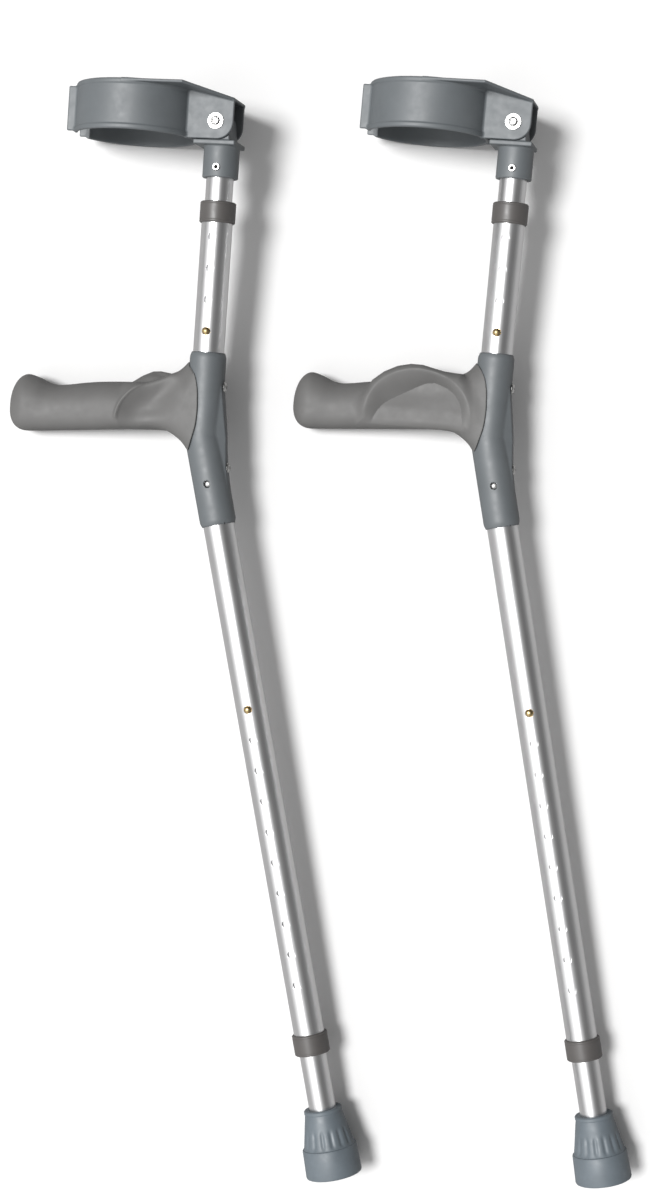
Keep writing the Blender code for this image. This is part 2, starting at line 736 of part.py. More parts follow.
def grip_section(forward, shrink=1.0):
    """One ring of the right hand's grip, from the inner side over the top."""
    top = grip_top_line(forward)
    bottom = grip_bottom_line(forward)
    middle = (top + bottom) / 2
    half_height = (top - bottom) / 2 * shrink
    bulb = 1 + 0.12 * math.exp(-((forward - GRIP_LENGTH + GRIP_TIP_ROUND) / (14 * MM)) ** 2)
    half_width = GRIP_HALF_WIDTH * bulb * shrink
    ring = []
    for side in range(GRIP_SIDES):
        angle = math.tau * side / GRIP_SIDES
        cosine = math.cos(angle)
        sine = math.sin(angle)
        power = GRIP_TOP_POWER if sine > 0 else GRIP_LOW_POWER
        across = math.copysign(abs(cosine) ** (2 / power), cosine) * half_width
        height = math.copysign(abs(sine) ** (2 / power), sine) * half_height
        point = Vector((forward, across, middle + height))
        ring.append(hand_rests(point, angle))
    return ring


def hand_rests(point, angle):
    """Raise the palm rest on the outer side and sink the thumb rest on the inner side."""
    along = (point.x - PALM_REST_AT) / PALM_REST_HALF_LENGTH
    if abs(along) < 1:
        swell = math.cos(along * math.pi / 2) ** 2
        turn = (math.degrees(angle) - 118) / 42
        swell *= math.exp(-turn * turn)
        point = point + Vector((0, -PALM_REST_FLARE * swell, PALM_REST_RISE * swell))
    across = (point.x - THUMB_REST_AT) / THUMB_REST_LENGTH
    up = (point.z - GRIP_BOTTOM) / THUMB_REST_HEIGHT
    edge = math.hypot(across, up)
    if point.y > 0 and edge < 1:
        step = min((1 - edge) / THUMB_REST_EDGE, 1.0)
        step = step * step * (3 - 2 * step)
        fade = min(max(edge, 0.0), 1.0)
        facing = max(math.cos(angle - math.radians(25)), 0.0)
        point = point - Vector((0, THUMB_REST_DEPTH * step * fade * facing, 0))
    return point


def saddle_edge():
    """The grip's edge on the sleeve, as a ring that starts on the inner side."""
    radius = SLEEVE_R + GAP + SADDLE_SKIN
    ring = []
    for side in range(GRIP_SIDES):
        angle = math.tau * side / GRIP_SIDES
        turn = math.radians(SADDLE_WRAP_DEG) * math.cos(angle)
        height = SADDLE_MIDDLE + SADDLE_HALF_HEIGHT * math.sin(angle)
        axis = min(height, 0.0) * math.tan(math.radians(BEND_DEG))
        ring.append(Vector((axis + radius * math.cos(turn), radius * math.sin(turn), height)))
    return ring


def grip_rings():
    """All rings of the grip from its tip to its saddle."""
    rings = []
    for step in range(1, GRIP_TIP_RINGS + 1):
        angle = math.pi / 2 * step / GRIP_TIP_RINGS
        forward = GRIP_LENGTH - GRIP_TIP_ROUND * (1 - math.cos(angle))
        rings.append(grip_section(forward, math.sin(angle) ** 0.9))
    start = GRIP_LENGTH - GRIP_TIP_ROUND
    for step in range(1, GRIP_BODY_RINGS + 1):
        forward = start + (GRIP_ROOT - start) * step / GRIP_BODY_RINGS
        rings.append(grip_section(forward))
    root = rings[-1]
    edge = saddle_edge()
    for step in range(1, GRIP_FLARE_RINGS + 1):
        t = step / GRIP_FLARE_RINGS
        ring = []
        for near, far in zip(root, edge):
            turn = Vector((GRIP_FLARE_TURN, near.y, near.z))
            ring.append(near * (1 - t) ** 2 + turn * 2 * t * (1 - t) + far * t * t)
        rings.append(ring)
    return rings


def grip(mirror):
    """The grip: a loft over its rings, cut to sit on the sleeves and the spigot.

    EXACT leaves open edges along the mitred sleeves, so this is MANIFOLD.
    """
    rings = grip_rings()
    mesh = bpy.data.meshes.new("grip")
    shape = bmesh.new()
    side = -1 if mirror else 1
    loops = [[shape.verts.new((p.x, p.y * side, p.z)) for p in ring] for ring in rings]
    tip_height = sum(point.z for point in rings[0]) / GRIP_SIDES
    tip = shape.verts.new((GRIP_LENGTH, 0, tip_height))
    back = shape.verts.new((0, 0, SADDLE_MIDDLE))
    for index in range(GRIP_SIDES):
        after = (index + 1) % GRIP_SIDES
        shape.faces.new((tip, loops[0][index], loops[0][after]))
        shape.faces.new((back, loops[-1][after], loops[-1][index]))
        for near, far in zip(loops, loops[1:]):
            shape.faces.new((near[index], far[index], far[after], near[after]))
    bmesh.ops.recalc_face_normals(shape, faces=shape.faces)
    bmesh.ops.triangulate(shape, faces=[face for face in shape.faces if len(face.verts) > 3])
    shape.to_mesh(mesh)
    shape.free()
    body = new_tool("grip", mesh)
    cutters = sleeve_shapes(SLEEVE_R + GAP, 2 * UPPER_SLEEVE_LENGTH, 2 * LOWER_SLEEVE_LENGTH)
    start, turn = grip_axis()
    bore = rod("bore", SPIGOT_D / 2 + GAP, 0.0, SPIGOT_LENGTH + GAP)
    cutters.append(moved(bore, start, turn))
    return combine(body, cutters, "DIFFERENCE", "MANIFOLD")


# Cuff socket and rivets

def cuff_socket():
    """Socket, base plate and knuckle in one moulding; z runs along the arm tube."""
    socket = rod("cuff_socket", SOCKET_D / 2, SOCKET_BOTTOM, PLATE_BOTTOM + OVERLAP)
    socket = moved(socket, turn=half_side(TUBE_SEGMENTS))
    back = SOCKET_D / 2
    low = (-back, -PLATE_HALF_WIDTH, PLATE_BOTTOM)
    plate = block("plate", low, (PIVOT_FORWARD + PLATE_FRONT, PLATE_HALF_WIDTH, PLATE_TOP))
    outline = [(PIVOT_FORWARD + KNUCKLE_R + 2 * MM, PLATE_TOP - OVERLAP)]
    outline += arc((PIVOT_FORWARD, PIVOT_AT), KNUCKLE_R, 0, 180, 12)
    outline += [(PIVOT_FORWARD - KNUCKLE_R - 2 * MM, PLATE_TOP - OVERLAP)]
    knuckle = side_slab("knuckle", outline, 2 * KNUCKLE_HALF_WIDTH)
    shape = combine(socket, [plate, knuckle], "UNION")
    bore = rod("bore", INNER_R + GAP, SOCKET_BOTTOM - OVERLAP, SOCKET_BORE_TOP)
    pivot = rod("pivot", PIVOT_D / 2 + GAP, -SOCKET_D, SOCKET_D, SMALL_SEGMENTS)
    pivot = moved(along_y(pivot), (PIVOT_FORWARD, 0, PIVOT_AT))
    rivet = rod("rivet", SOCKET_RIVET_D / 2 + GAP, -SOCKET_D, SOCKET_D, SMALL_SEGMENTS)
    rivet = moved(along_y(rivet), (0, 0, SOCKET_RIVET_AT))
    return combine(shape, [bore, pivot, rivet], "DIFFERENCE")


def socket_rivet():
    """A tubular rivet through the socket and the arm tube, open from end to end."""
    seat = SOCKET_D / 2 + GAP
    end = seat + SOCKET_RIVET_HEAD_T
    bore = SOCKET_RIVET_BORE_D / 2
    shank = SOCKET_RIVET_D / 2
    head = SOCKET_RIVET_HEAD_D / 2
    edge = 0.5 * MM
    profile = (
        (bore, end),
        (head - edge, end),
        (head, seat),
        (shank, seat),
        (shank, -seat),
        (head, -seat),
        (head - edge, -end),
        (bore, -end),
    )
    return along_y(turned("socket_rivet", profile, SMALL_SEGMENTS, closed=True))


def washer_seat():
    """Distance from the middle plane to a washer's inner face."""
    return CHEEK_OUTER + GAP


def cuff_rivet():
    """The solid pivot rivet, headed outside both washers."""
    seat = washer_seat() + WASHER_T + GAP
    end = seat + PIVOT_HEAD_T
    shank = PIVOT_D / 2
    head = PIVOT_HEAD_D / 2
    profile = (
        (0, end - PIVOT_DISH),
        (head - PIVOT_RIM, end),
        (head - PIVOT_RIM_EDGE, end - PIVOT_RIM_FALL),
        (head, seat),
        (shank, seat),
        (shank, -seat),
        (head, -seat),
        (head - PIVOT_RIM_EDGE, PIVOT_RIM_FALL - end),
        (head - PIVOT_RIM, -end),
        (0, PIVOT_DISH - end),
    )
    return along_y(turned("cuff_rivet", profile, SMALL_SEGMENTS))


def cuff_washer(side):
    """The washer outside one cheek."""
    middle = side * (washer_seat() + WASHER_T / 2)
    low = middle - WASHER_T / 2
    high = middle + WASHER_T / 2
    return along_y(tube("washer", WASHER_D / 2, PIVOT_D / 2 + GAP, low, high, WASHER_SEGMENTS))


# Cuff, with the pivot as its origin

def cuff():
    """Open ring, front lips, cheeks and top flange in one moulding.

    EXACT leaves open edges on the ring's inner face, so this is MANIFOLD.
    """
    middle = (BAND_TOP + BAND_BOTTOM) / 2
    ring = moved(rod("cuff", CUFF_R, BAND_BOTTOM, BAND_TOP, CUFF_SEGMENTS), (RING_CENTRE, 0, 0))
    end = RING_CENTRE + math.sqrt(CUFF_R ** 2 - (FRONT_GAP / 2) ** 2)
    half = FRONT_GAP / 2 + LIP_T
    low = (end - CUFF_WALL, -half, middle - LIP_HEIGHT / 2)
    lips = block("lips", low, (end + LIP_REACH, half, middle + LIP_HEIGHT / 2))
    shape = combine(ring, [cheek(1), cheek(-1), flange(), lips], "UNION", "MANIFOLD")
    inside = rod("inside", CUFF_INNER_R, BAND_BOTTOM - OVERLAP, BAND_TOP + OVERLAP, CUFF_SEGMENTS)
    inside = moved(inside, (RING_CENTRE, 0, 0))
    low = (RING_CENTRE, -FRONT_GAP / 2, BAND_BOTTOM - OVERLAP)
    front = block("front", low, (end + 2 * LIP_REACH, FRONT_GAP / 2, BAND_TOP + OVERLAP))
    return combine(shape, [front, inside], "DIFFERENCE", "MANIFOLD")


def cheek(side):
    """One bracket plate beside the knuckle, rounded about the pivot at its lower back."""
    front = RING_CENTRE - math.sqrt(CUFF_R ** 2 - CHEEK_OUTER ** 2) + CUFF_WALL / 2
    corner = (CHEEK_CORNER_R - CHEEK_BACK, CHEEK_BOTTOM + CHEEK_CORNER_R)
    under = FLANGE_T / 2
    outline = [(front, CHEEK_BOTTOM), (front, BAND_TOP - under), (CUFF_BACK, BAND_TOP - under)]
    outline += [(-CHEEK_BACK, BAND_TOP - under - FLANGE_DROP)]
    outline += arc(corner, CHEEK_CORNER_R, 180, 270, 8)
    plate = side_slab("cheek", outline, CHEEK_T, side * (CHEEK_INNER + CHEEK_T / 2))
    hole = rod("pivot", PIVOT_D / 2 + GAP, -CUFF_R, CUFF_R, SMALL_SEGMENTS)
    return combine(plate, [along_y(hole)], "DIFFERENCE")


def flange():
    """The shoulder behind the ring: flat to a fold line, then sloping and narrowing."""
    back = -CHEEK_BACK - FLANGE_TRIM
    low = BAND_TOP - FLANGE_DROP
    profile = [
        (RING_CENTRE, BAND_TOP),
        (CUFF_BACK, BAND_TOP),
        (back, low),
        (back, low - FLANGE_T),
        (CUFF_BACK, BAND_TOP - FLANGE_T),
        (RING_CENTRE, BAND_TOP - FLANGE_T),
    ]
    shape = side_slab("flange", profile, 4 * CUFF_R)
    wide = CUFF_R - FLANGE_TRIM
    narrow = CHEEK_OUTER + FLANGE_TRIM
    taper = (wide - narrow) / (CUFF_BACK - back)
    past = narrow - taper * OVERLAP
    outline = [(RING_CENTRE, wide), (CUFF_BACK, wide), (back - OVERLAP, past)]
    outline += [(back - OVERLAP, -past), (CUFF_BACK, -wide), (RING_CENTRE, -wide)]
    plan = slab("plan", outline, 4 * BAND_HEIGHT)
    return combine(shape, [plan], "INTERSECT")


# Ferrule

def ferrule():
    """The rubber tip; z = 0 is its top and it hangs down, with two tread grooves."""
    bore = INNER_R + GAP
    base = -FERRULE_HEIGHT
    step = base + FERRULE_SKIRT_HEIGHT
    profile = [
        (0, -(FERRULE_HEIGHT - FERRULE_FLOOR)),
        (bore, -(FERRULE_HEIGHT - FERRULE_FLOOR)),
        (bore, 0),
        (FERRULE_TOP_D / 2 - FERRULE_EDGE, 0),
        (FERRULE_TOP_D / 2, -FERRULE_EDGE),
        (FERRULE_CONE_D / 2, step + FERRULE_EDGE),
        (FERRULE_SKIRT_D / 2, step),
        (FERRULE_BASE_D / 2, base + FERRULE_EDGE),
        (FERRULE_BASE_D / 2 - FERRULE_EDGE, base),
    ]
    for inner, outer in reversed(TREAD_GROOVES):
        profile += [(outer, base), (outer, base + TREAD_DEPTH)]
        profile += [(inner, base + TREAD_DEPTH), (inner, base)]
    profile.append((0, base))
    return turned("ferrule", profile)


def ferrule_washer():
    """The steel disc that keeps the tube's end from cutting through the rubber."""
    return rod("ferrule_washer", INNER_R, 0.0, FERRULE_WASHER_T)


# One crutch

def build_crutch(side):
    """Build one crutch under an empty and return the empty."""
    crutch = new_empty(side + "_crutch", None)
    lower = new_empty(side + "_lower_line", crutch, rotation=(0, math.radians(BEND_DEG), 0))
    arm_slide = new_empty(side + "_arm_slide", crutch)
    shaft_slide = new_empty(side + "_shaft_slide", lower)
    pivot = new_empty(side + "_cuff_pivot", arm_slide, (PIVOT_FORWARD, 0, PIVOT_AT))

    def part(tool, name, parent, finish, location=(0, 0, 0), rotation=(0, 0, 0)):
        return place_part(tool, side + "_" + name, parent, finish, location, rotation)

    upper_tube = outer_tube("upper_tube", UPPER_TUBE_END, ARM_BUTTON_AT, ARM_HOLES)
    lower_tube = outer_tube("lower_tube", LOWER_TUBE_END, SHAFT_BUTTON_AT, SHAFT_HOLES)
    lower_tube.data.transform(Matrix.Rotation(math.pi, 4, "X"))
    lower_tube.data.transform(Matrix.Rotation(math.pi, 4, "Z"))
    upper_tube, lower_tube = drill_outer_tubes(upper_tube, lower_tube)
    part(upper_tube, "upper_tube", crutch, "aluminium")
    part(lower_tube, "lower_tube", lower, "aluminium")
    part(collar("upper_collar"), "upper_collar", crutch, "collar_plastic", (0, 0, UPPER_COLLAR_END))
    flipped = (math.pi, 0, 0)
    place = (0, 0, -LOWER_COLLAR_END)
    part(collar("lower_collar"), "lower_collar", lower, "collar_plastic", place, flipped)
    part(housing(), "housing", crutch, "housing_plastic")
    upper_rivet = rear_rivet("upper_rivet", UPPER_RIVET_AT, False)
    lower_rivet = rear_rivet("lower_rivet", LOWER_RIVET_AT, True)
    part(upper_rivet, "upper_housing_rivet", crutch, "rivet_steel")
    part(lower_rivet, "lower_housing_rivet", crutch, "rivet_steel")
    part(side_pin(), "side_pin", lower, "rivet_steel", (0, 0, -SIDE_PIN_AT))
    part(grip(side == "left"), "grip", crutch, "grip_plastic")

    part(arm_tube(), "arm_tube", arm_slide, "aluminium")
    part(cuff_socket(), "cuff_socket", arm_slide, "housing_plastic")
    part(socket_rivet(), "socket_rivet", arm_slide, "rivet_steel", (0, 0, SOCKET_RIVET_AT))
    part(leaf_spring("arm_spring"), "arm_spring", arm_slide, "spring_steel", (0, 0, ARM_BUTTON_AT))
    part(snap_button("arm_button"), "arm_button", arm_slide, "button_brass", (0, 0, ARM_BUTTON_AT))
    part(cuff_rivet(), "cuff_rivet", pivot, "rivet_steel")
    part(cuff_washer(1), "cuff_washer_left", pivot, "rivet_steel")
    part(cuff_washer(-1), "cuff_washer_right", pivot, "rivet_steel")
    part(cuff(), "cuff", pivot, "housing_plastic")

    place = (0, 0, -SHAFT_BUTTON_AT)
    flipped = (0, math.pi, 0)
    spring = leaf_spring("shaft_spring")
    part(shaft_tube(), "shaft_tube", shaft_slide, "aluminium")
    part(spring, "shaft_spring", shaft_slide, "spring_steel", place, flipped)
    part(snap_button("shaft_button"), "shaft_button", shaft_slide, "button_brass", place)
    part(ferrule(), "ferrule", shaft_slide, "ferrule_rubber", (0, 0, -FERRULE_TOP))
    place = (0, 0, -FERRULE_BORE_END + GAP)
    part(ferrule_washer(), "ferrule_washer", shaft_slide, "rivet_steel", place)
    return crutch


# Laying the pair on the floor

def world_points(obj):
    """The object's vertices in world space."""
    points = np.empty(len(obj.data.vertices) * 3)
    obj.data.vertices.foreach_get("co", points)
    points = points.reshape(-1, 3)
    matrix = np.array(obj.matrix_world)
    return points @ matrix[:3, :3].T + matrix[:3, 3]


def lay_down(crutch, side, place):
    """Lay a crutch on its right side so that cuff, grip and ferrule all touch the floor."""
    flat = Matrix(((-1, 0, 0, 0), (0, 0, 1, 0), (0, 1, 0, 0), (0, 0, 0, 1)))
    lean = Matrix.Rotation(math.radians(LEAN_DEG[side]), 4, "Z")
    crutch.matrix_world = lean @ flat
    bpy.context.view_layer.update()
    touching = [bpy.data.objects[side + "_" + name] for name in ("cuff", "grip", "ferrule")]
    for _ in range(SETTLE_ROUNDS):
        clouds = [world_points(obj) for obj in touching]
        low = [Vector(cloud[cloud[:, 2].argmin()]) for cloud in clouds]
        normal = (low[1] - low[0]).cross(low[2] - low[0]).normalized()
        if normal.z < 0:
            normal.negate()
        level = normal.rotation_difference(Vector((0, 0, 1))).to_matrix().to_4x4()
        turned_frame = level @ crutch.matrix_world
        crutch.matrix_world = Matrix.Translation(-turned_frame.translation) @ turned_frame
        bpy.context.view_layer.update()
    floor = min(world_points(obj)[:, 2].min() for obj in touching)
    crutch.matrix_world = Matrix.Translation((*place, -floor)) @ crutch.matrix_world
    bpy.context.view_layer.update()


def centre_pair(crutches):
    """Shift both crutches so that the middle of their outline is at the origin."""
    clouds = [world_points(obj) for obj in PARTS.objects if obj.type == "MESH"]
    low = np.min([cloud.min(axis=0) for cloud in clouds], axis=0)
    high = np.max([cloud.max(axis=0) for cloud in clouds], axis=0)
    middle = (low + high) / 2
    shift = Matrix.Translation((-middle[0], -middle[1], -low[2]))
    for crutch in crutches:
        crutch.matrix_world = shift @ crutch.matrix_world
    bpy.context.view_layer.update()


clear_scene()
PARTS = new_collection("forearm_crutches")
CUTTERS = new_collection("cutters")
MATERIALS = make_materials()
LOWER_FRAME = Matrix.Rotation(math.radians(BEND_DEG), 4, "Y")
RIGHT = build_crutch("right")
LEFT = build_crutch("left")
lay_down(RIGHT, "right", (0.0, 0.0))
lay_down(LEFT, "left", (CRUTCH_SPACING, CRUTCH_SHIFT))
centre_pair((RIGHT, LEFT))
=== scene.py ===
"""A pair of forearm crutches lying on a pale floor in soft studio light.

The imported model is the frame. Each visible CAD node gets a finer piece in its place,
made here in the crutch's frame (X forward along the grip, Y to the user's left, Z up
along the upper tube) or in that of its lower tube or cuff pivot. Shapes are worked out
in millimetres and scaled once.
"""

import json
import math

import bpy
import numpy as np
from mathutils import Matrix, Vector


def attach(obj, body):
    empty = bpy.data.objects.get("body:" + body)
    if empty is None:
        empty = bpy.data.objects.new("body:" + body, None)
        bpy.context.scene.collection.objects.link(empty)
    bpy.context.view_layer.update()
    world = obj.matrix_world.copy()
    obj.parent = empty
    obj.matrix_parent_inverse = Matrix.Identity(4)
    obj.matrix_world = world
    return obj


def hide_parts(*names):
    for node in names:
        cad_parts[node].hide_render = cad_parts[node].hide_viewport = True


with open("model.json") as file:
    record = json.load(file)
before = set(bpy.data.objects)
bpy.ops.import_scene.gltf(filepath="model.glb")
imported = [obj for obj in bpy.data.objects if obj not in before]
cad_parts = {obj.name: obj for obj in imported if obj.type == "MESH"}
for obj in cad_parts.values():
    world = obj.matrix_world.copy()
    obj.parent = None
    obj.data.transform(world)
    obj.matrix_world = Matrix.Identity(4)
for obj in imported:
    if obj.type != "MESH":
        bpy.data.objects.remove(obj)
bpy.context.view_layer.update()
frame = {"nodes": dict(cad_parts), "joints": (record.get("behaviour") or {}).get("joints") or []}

MM = 0.001
GAP = 0.3

# Tubes
BEND = math.radians(14.4)
OUTER_R = 12.7
INNER_R = 11.1
WALL = 1.2
PITCH = 25.4
TUBE_START = 8.0
HOLE_R = 3.5
ARM_BUTTON_AT = 85.8
SHAFT_BUTTON_AT = 225.6
UPPER_TUBE_END = 188.3
LOWER_TUBE_END = 510.4
ARM_TUBE_BOTTOM = 63.8
SOCKET_BORE_TOP = 233.6
SHAFT_TUBE_TOP = 201.6
SHAFT_TUBE_END = 603.5

# Snap buttons
BUTTON_R = 3.1
BUTTON_FLANGE_R = 4.1
BUTTON_FLANGE_T = 0.9
BUTTON_PROUD = 2.2

# Collars
COLLAR_HEIGHT = 17.2
COLLAR_R = 14.6
COLLAR_LIP = 2.3
COLLAR_EDGE = 0.9
COLLAR_GROOVES = (-1.8, -14.6)
UPPER_COLLAR_END = 190.9
LOWER_COLLAR_END = 513.0

# Housing
SLEEVE_R = 14.9
SLEEVE_BORE_R = 13.0
UPPER_SLEEVE = 69.3
LOWER_SLEEVE = 73.4
SLEEVE_START = -2.1
CHAMFER_IN = 1.4
CHAMFER_LENGTH = 3.6
UPPER_RIVET_AT = 42.0
LOWER_RIVET_AT = 25.9
RIVET_R = 2.0
RIVET_HOLE_R = RIVET_R + GAP
RIVET_FOOT = 9.5
RIVET_HEAD = 2.0
RIVET_HEAD_R = 4.4
SIDE_PIN_AT = 39.1
SIDE_PIN_R = 2.5
SIDE_PIN_SUNK = 1.9
SPIGOT_R = 9.5
SPIGOT_LENGTH = 118.0
SPIGOT_HEIGHT = 28.75
SPIGOT_DROOP = 0.0726

# Gusset behind the bend: how far back, its corners' heights, then its half width's taper
WEB_BACK = 19.8
WEB_TOP = 42.0
WEB_CORNER = 4.0
WEB_BELLY = 22.0
WEB_FOOT = 66.0
WEB_ROOT = 11.0
WEB_HALF_WIDTH = 9.2
WEB_LEAST_HALF_WIDTH = 3.6
WEB_TAPER = 0.62

# Grip: each hand's length, then lines of points (forward, height)
GRIP_LENGTH = {"right": 166.5, "left": 165.0}
GRIP_HALF_WIDTH = 16.6
GRIP_TIP_ROUND = 17.0
GRIP_TIP_SWELL = 0.10
# Fuller thumb side: how much, where and how far it spreads
THUMB_SWELL = 3.8
THUMB_SWELL_AT = 64.0
THUMB_SWELL_SPREAD = 24.0
THUMB_BOWL_DEPTH = 6.9
THUMB_BOWL_WALL = 16.0
THUMB_BEAD = 1.2
THUMB_BEAD_WIDTH = 1.5
# Palm rest: thickness, then the rim's centre (forward, height) and radii, and the dish
PALM_OUTER = 15.6
PALM_FLARE = 3.4
PALM_INNER = 6.5
PALM_EDGE_R = 5.5
RIM_CENTRE = (58.0, 12.0)
RIM_RADII = (43.5, 39.0)
RIM_MEAN_RADIUS = 41.0
RIM_FALL = 0.28
RIM_HEIGHT = 2.6
DISH_DEPTH = 10.0
GRIP_TOP = (
    (2.6, 84.0), (8.0, 73.0), (12.0, 66.0), (16.0, 60.0), (20.4, 54.4), (29.3, 49.2), (39.5, 44.6),
    (47.7, 41.9), (56.0, 41.4), (65.0, 41.3), (77.0, 40.7), (91.0, 39.7), (105.0, 37.9),
    (119.0, 35.7), (127.0, 35.1), (134.0, 36.4), (142.0, 39.8), (151.0, 42.4), (170.0, 43.0),
)
GRIP_LOW = (
    (2.6, -30.0), (8.0, -17.0), (12.9, -9.4), (16.0, -5.8), (20.2, -2.3), (25.6, 1.1), (31.0, 3.4),
    (38.0, 4.4), (56.0, 3.0), (80.0, 1.1), (110.0, -1.3), (140.0, -3.7), (170.0, -6.0),
)
# Height, then forward: where the grip ends on the sleeves
SADDLE_EDGE = (
    (-14.0, 10.5), (-8.8, 8.0), (-1.5, 5.6), (7.5, 3.2), (18.0, 2.2), (30.0, 2.4), (40.0, 3.5),
    (50.3, 6.6), (58.7, 12.1), (63.0, 14.5),
)
# Outline of the palm rest from the side, differing as the two photographed sides do
PALM_EDGE = {
    "right": (
        (100, 4), (98, 15), (92, 26), (82, 33), (72, 38), (66, 41.5), (58, 47.5), (50, 51.5),
        (43, 52), (36, 51), (29, 49.8), (23, 48), (18, 40), (15, 26), (14, 4),
    ),
    "left": (
        (106, 4), (105.5, 15), (103.5, 28), (98, 39.4), (88.6, 47.1), (77.9, 52.4), (67.1, 54.9),
        (57.4, 54.9), (47.5, 52.7), (39, 51), (30.8, 50.4), (25, 50), (19, 43), (15, 28), (14, 4),
    ),
}

# Socket and cuff
SOCKET_R = 14.6
SOCKET_BOTTOM = 209.9
PLATE_BOTTOM = 235.3
PLATE_TOP = 239.0
PLATE_HALF_WIDTH = 17.1
SOCKET_RIVET_AT = 217.5
KNUCKLE_HALF_WIDTH = 13.9
KNUCKLE_R = 9.5
PIVOT_FORWARD = 2.1
PIVOT_AT = 253.8
PIVOT_R = 3.0
CUFF_INNER_R = 47.5
CUFF_R = 50.5
RING_X = 71.0
CUFF_BACK = 20.5
BAND_BOTTOM = -13.6
BAND_TOP = 26.2
FRONT_HALF_GAP = 15.0
LIP_START = 115.0
LIP_END = 125.2
LIP_T = 2.6
LIP_HALF_HEIGHT = 18.0
LIP_DROP = 0.6
CHEEK_IN = 14.3
CHEEK_OUT = 17.1
CHEEK_BOTTOM = -14.2
CHEEK_BACK = 14.4
CHEEK_CORNER_R = 13.4
FLANGE_T = 2.4
FLANGE_DROP = 7.5
WASHER_R = 6.5
WASHER_T = 1.0
CUFF_RIVET_HEAD = 1.6
CUFF_RIVET_HEAD_R = 4.3

# How far cutters reach past what they cut
PAST = 40.0

# Two corners of the box that each smooth shape lies in, and the step of its points
HOUSING_BOX = ((-46, -16, -76), (119, 16, 70), 0.8)
SOCKET_BOX = ((-15, -18, 209), (21, 18, 264), 0.6)
CUFF_BOX = ((-16, -51, -15), (126, 51, 27), 0.65)
GRIP_STEP = 0.75

# Ferrule
FERRULE_TOP = 558.7
FERRULE_HEIGHT = 55.4
FERRULE_BORE_DEPTH = 47.4
FERRULE_NECK = 5.0
FERRULE_NECK_R = 15.6
FERRULE_CONE_R = 20.9
FERRULE_FOOT = 23.4
TREAD_RADII = (18.0, 12.0)
TREAD_WIDTH = 3.0
TREAD_DEPTH = 2.5
FLUTES = 16
FLUTE_DEPTH = 0.9


# Distance fields, all in millimetres

def smooth_min(a, b, k):
    """Union of two fields with a fillet of about k."""
    h = np.maximum(k - np.abs(a - b), 0.0) / k
    return np.minimum(a, b) - h * h * k * 0.25


def smooth_max(a, b, k):
    """Overlap of two fields with a rounded edge of about k."""
    return -smooth_min(-a, -b, k)


def rounded(dx, dz, edge):
    """Distance to a slab or rod from its two face distances, with its edges rounded."""
    dx = dx + edge
    dz = dz + edge
    outside = np.hypot(np.maximum(dx, 0.0), np.maximum(dz, 0.0))
    return outside + np.minimum(np.maximum(dx, dz), 0.0) - edge


def rod(rho, z, radius, low, high, edge=0.3):
    """A round bar along an axis; rho is the distance from the axis."""
    return rounded(rho - radius, np.abs(z - (low + high) / 2) - (high - low) / 2, edge)


def block(x, y, z, low, high, edge):
    """A box with rounded edges."""
    dx, dy, dz = (
        np.abs(value - (a + b) / 2) - (b - a) / 2 + edge
        for value, a, b in zip((x, y, z), low, high)
    )
    outside = np.sqrt(sum(np.maximum(d, 0.0) ** 2 for d in (dx, dy, dz)))
    return outside + np.minimum(np.maximum(np.maximum(dx, dy), dz), 0.0) - edge


def polygon(x, z, points):
    """Signed distance to a polygon in the x, z plane."""
    nearest = np.full(x.shape, 1e12)
    sign = np.ones(x.shape)
    for index, (px, pz) in enumerate(points):
        qx, qz = points[index - 1]
        ex, ez = qx - px, qz - pz
        wx, wz = x - px, z - pz
        t = np.clip((wx * ex + wz * ez) / (ex * ex + ez * ez), 0.0, 1.0)
        nearest = np.minimum(nearest, (wx - ex * t) ** 2 + (wz - ez * t) ** 2)
        above = z >= pz
        below = z < qz
        left = ex * wz > ez * wx
        flip = (above & below & left) | (~above & ~below & ~left)
        sign = np.where(flip, -sign, sign)
    return sign * np.sqrt(nearest)


def arc(centre, radius, start, end, steps):
    """Points along an arc, angles in degrees."""
    angles = np.radians(np.linspace(start, end, steps + 1))
    return [(centre[0] + radius * math.cos(a), centre[1] + radius * math.sin(a)) for a in angles]


def gradient(field, points):
    """Central differences of a field."""
    reach = 0.05
    columns = []
    for axis in range(3):
        step = np.zeros(3)
        step[axis] = reach
        columns.append((field(*(points + step).T) - field(*(points - step).T)) / (2 * reach))
    return np.stack(columns, 1)


def sampled(field, low, high, step):
    """The field on a lattice, worked out only in the blocks that its surface passes."""
    n = 8
    low = np.array(low, float) - 2 * step
    blocks = np.ceil((np.array(high) + 2 * step - low) / (step * n)).astype(int)
    centres = low + (np.indices(blocks).reshape(3, -1).T * n + (n - 1) / 2) * step
    coarse = field(*centres.T).reshape(blocks)
    grid = np.empty(blocks * n)
    view = grid.reshape(blocks[0], n, blocks[1], n, blocks[2], n).transpose(0, 2, 4, 1, 3, 5)
    view[...] = coarse[..., None, None, None]
    near = np.argwhere(np.abs(coarse) < step * n * 0.9 + 1.5)
    offsets = np.indices((n, n, n)).reshape(3, -1)
    for start in range(0, len(near), 1500):
        chunk = near[start:start + 1500]
        points = low[None, :, None] + (chunk[:, :, None] * n + offsets[None]) * step
        values = field(*(points[:, axis].ravel() for axis in range(3)))
        view[chunk[:, 0], chunk[:, 1], chunk[:, 2]] = values.reshape(-1, n, n, n)
    return grid, low


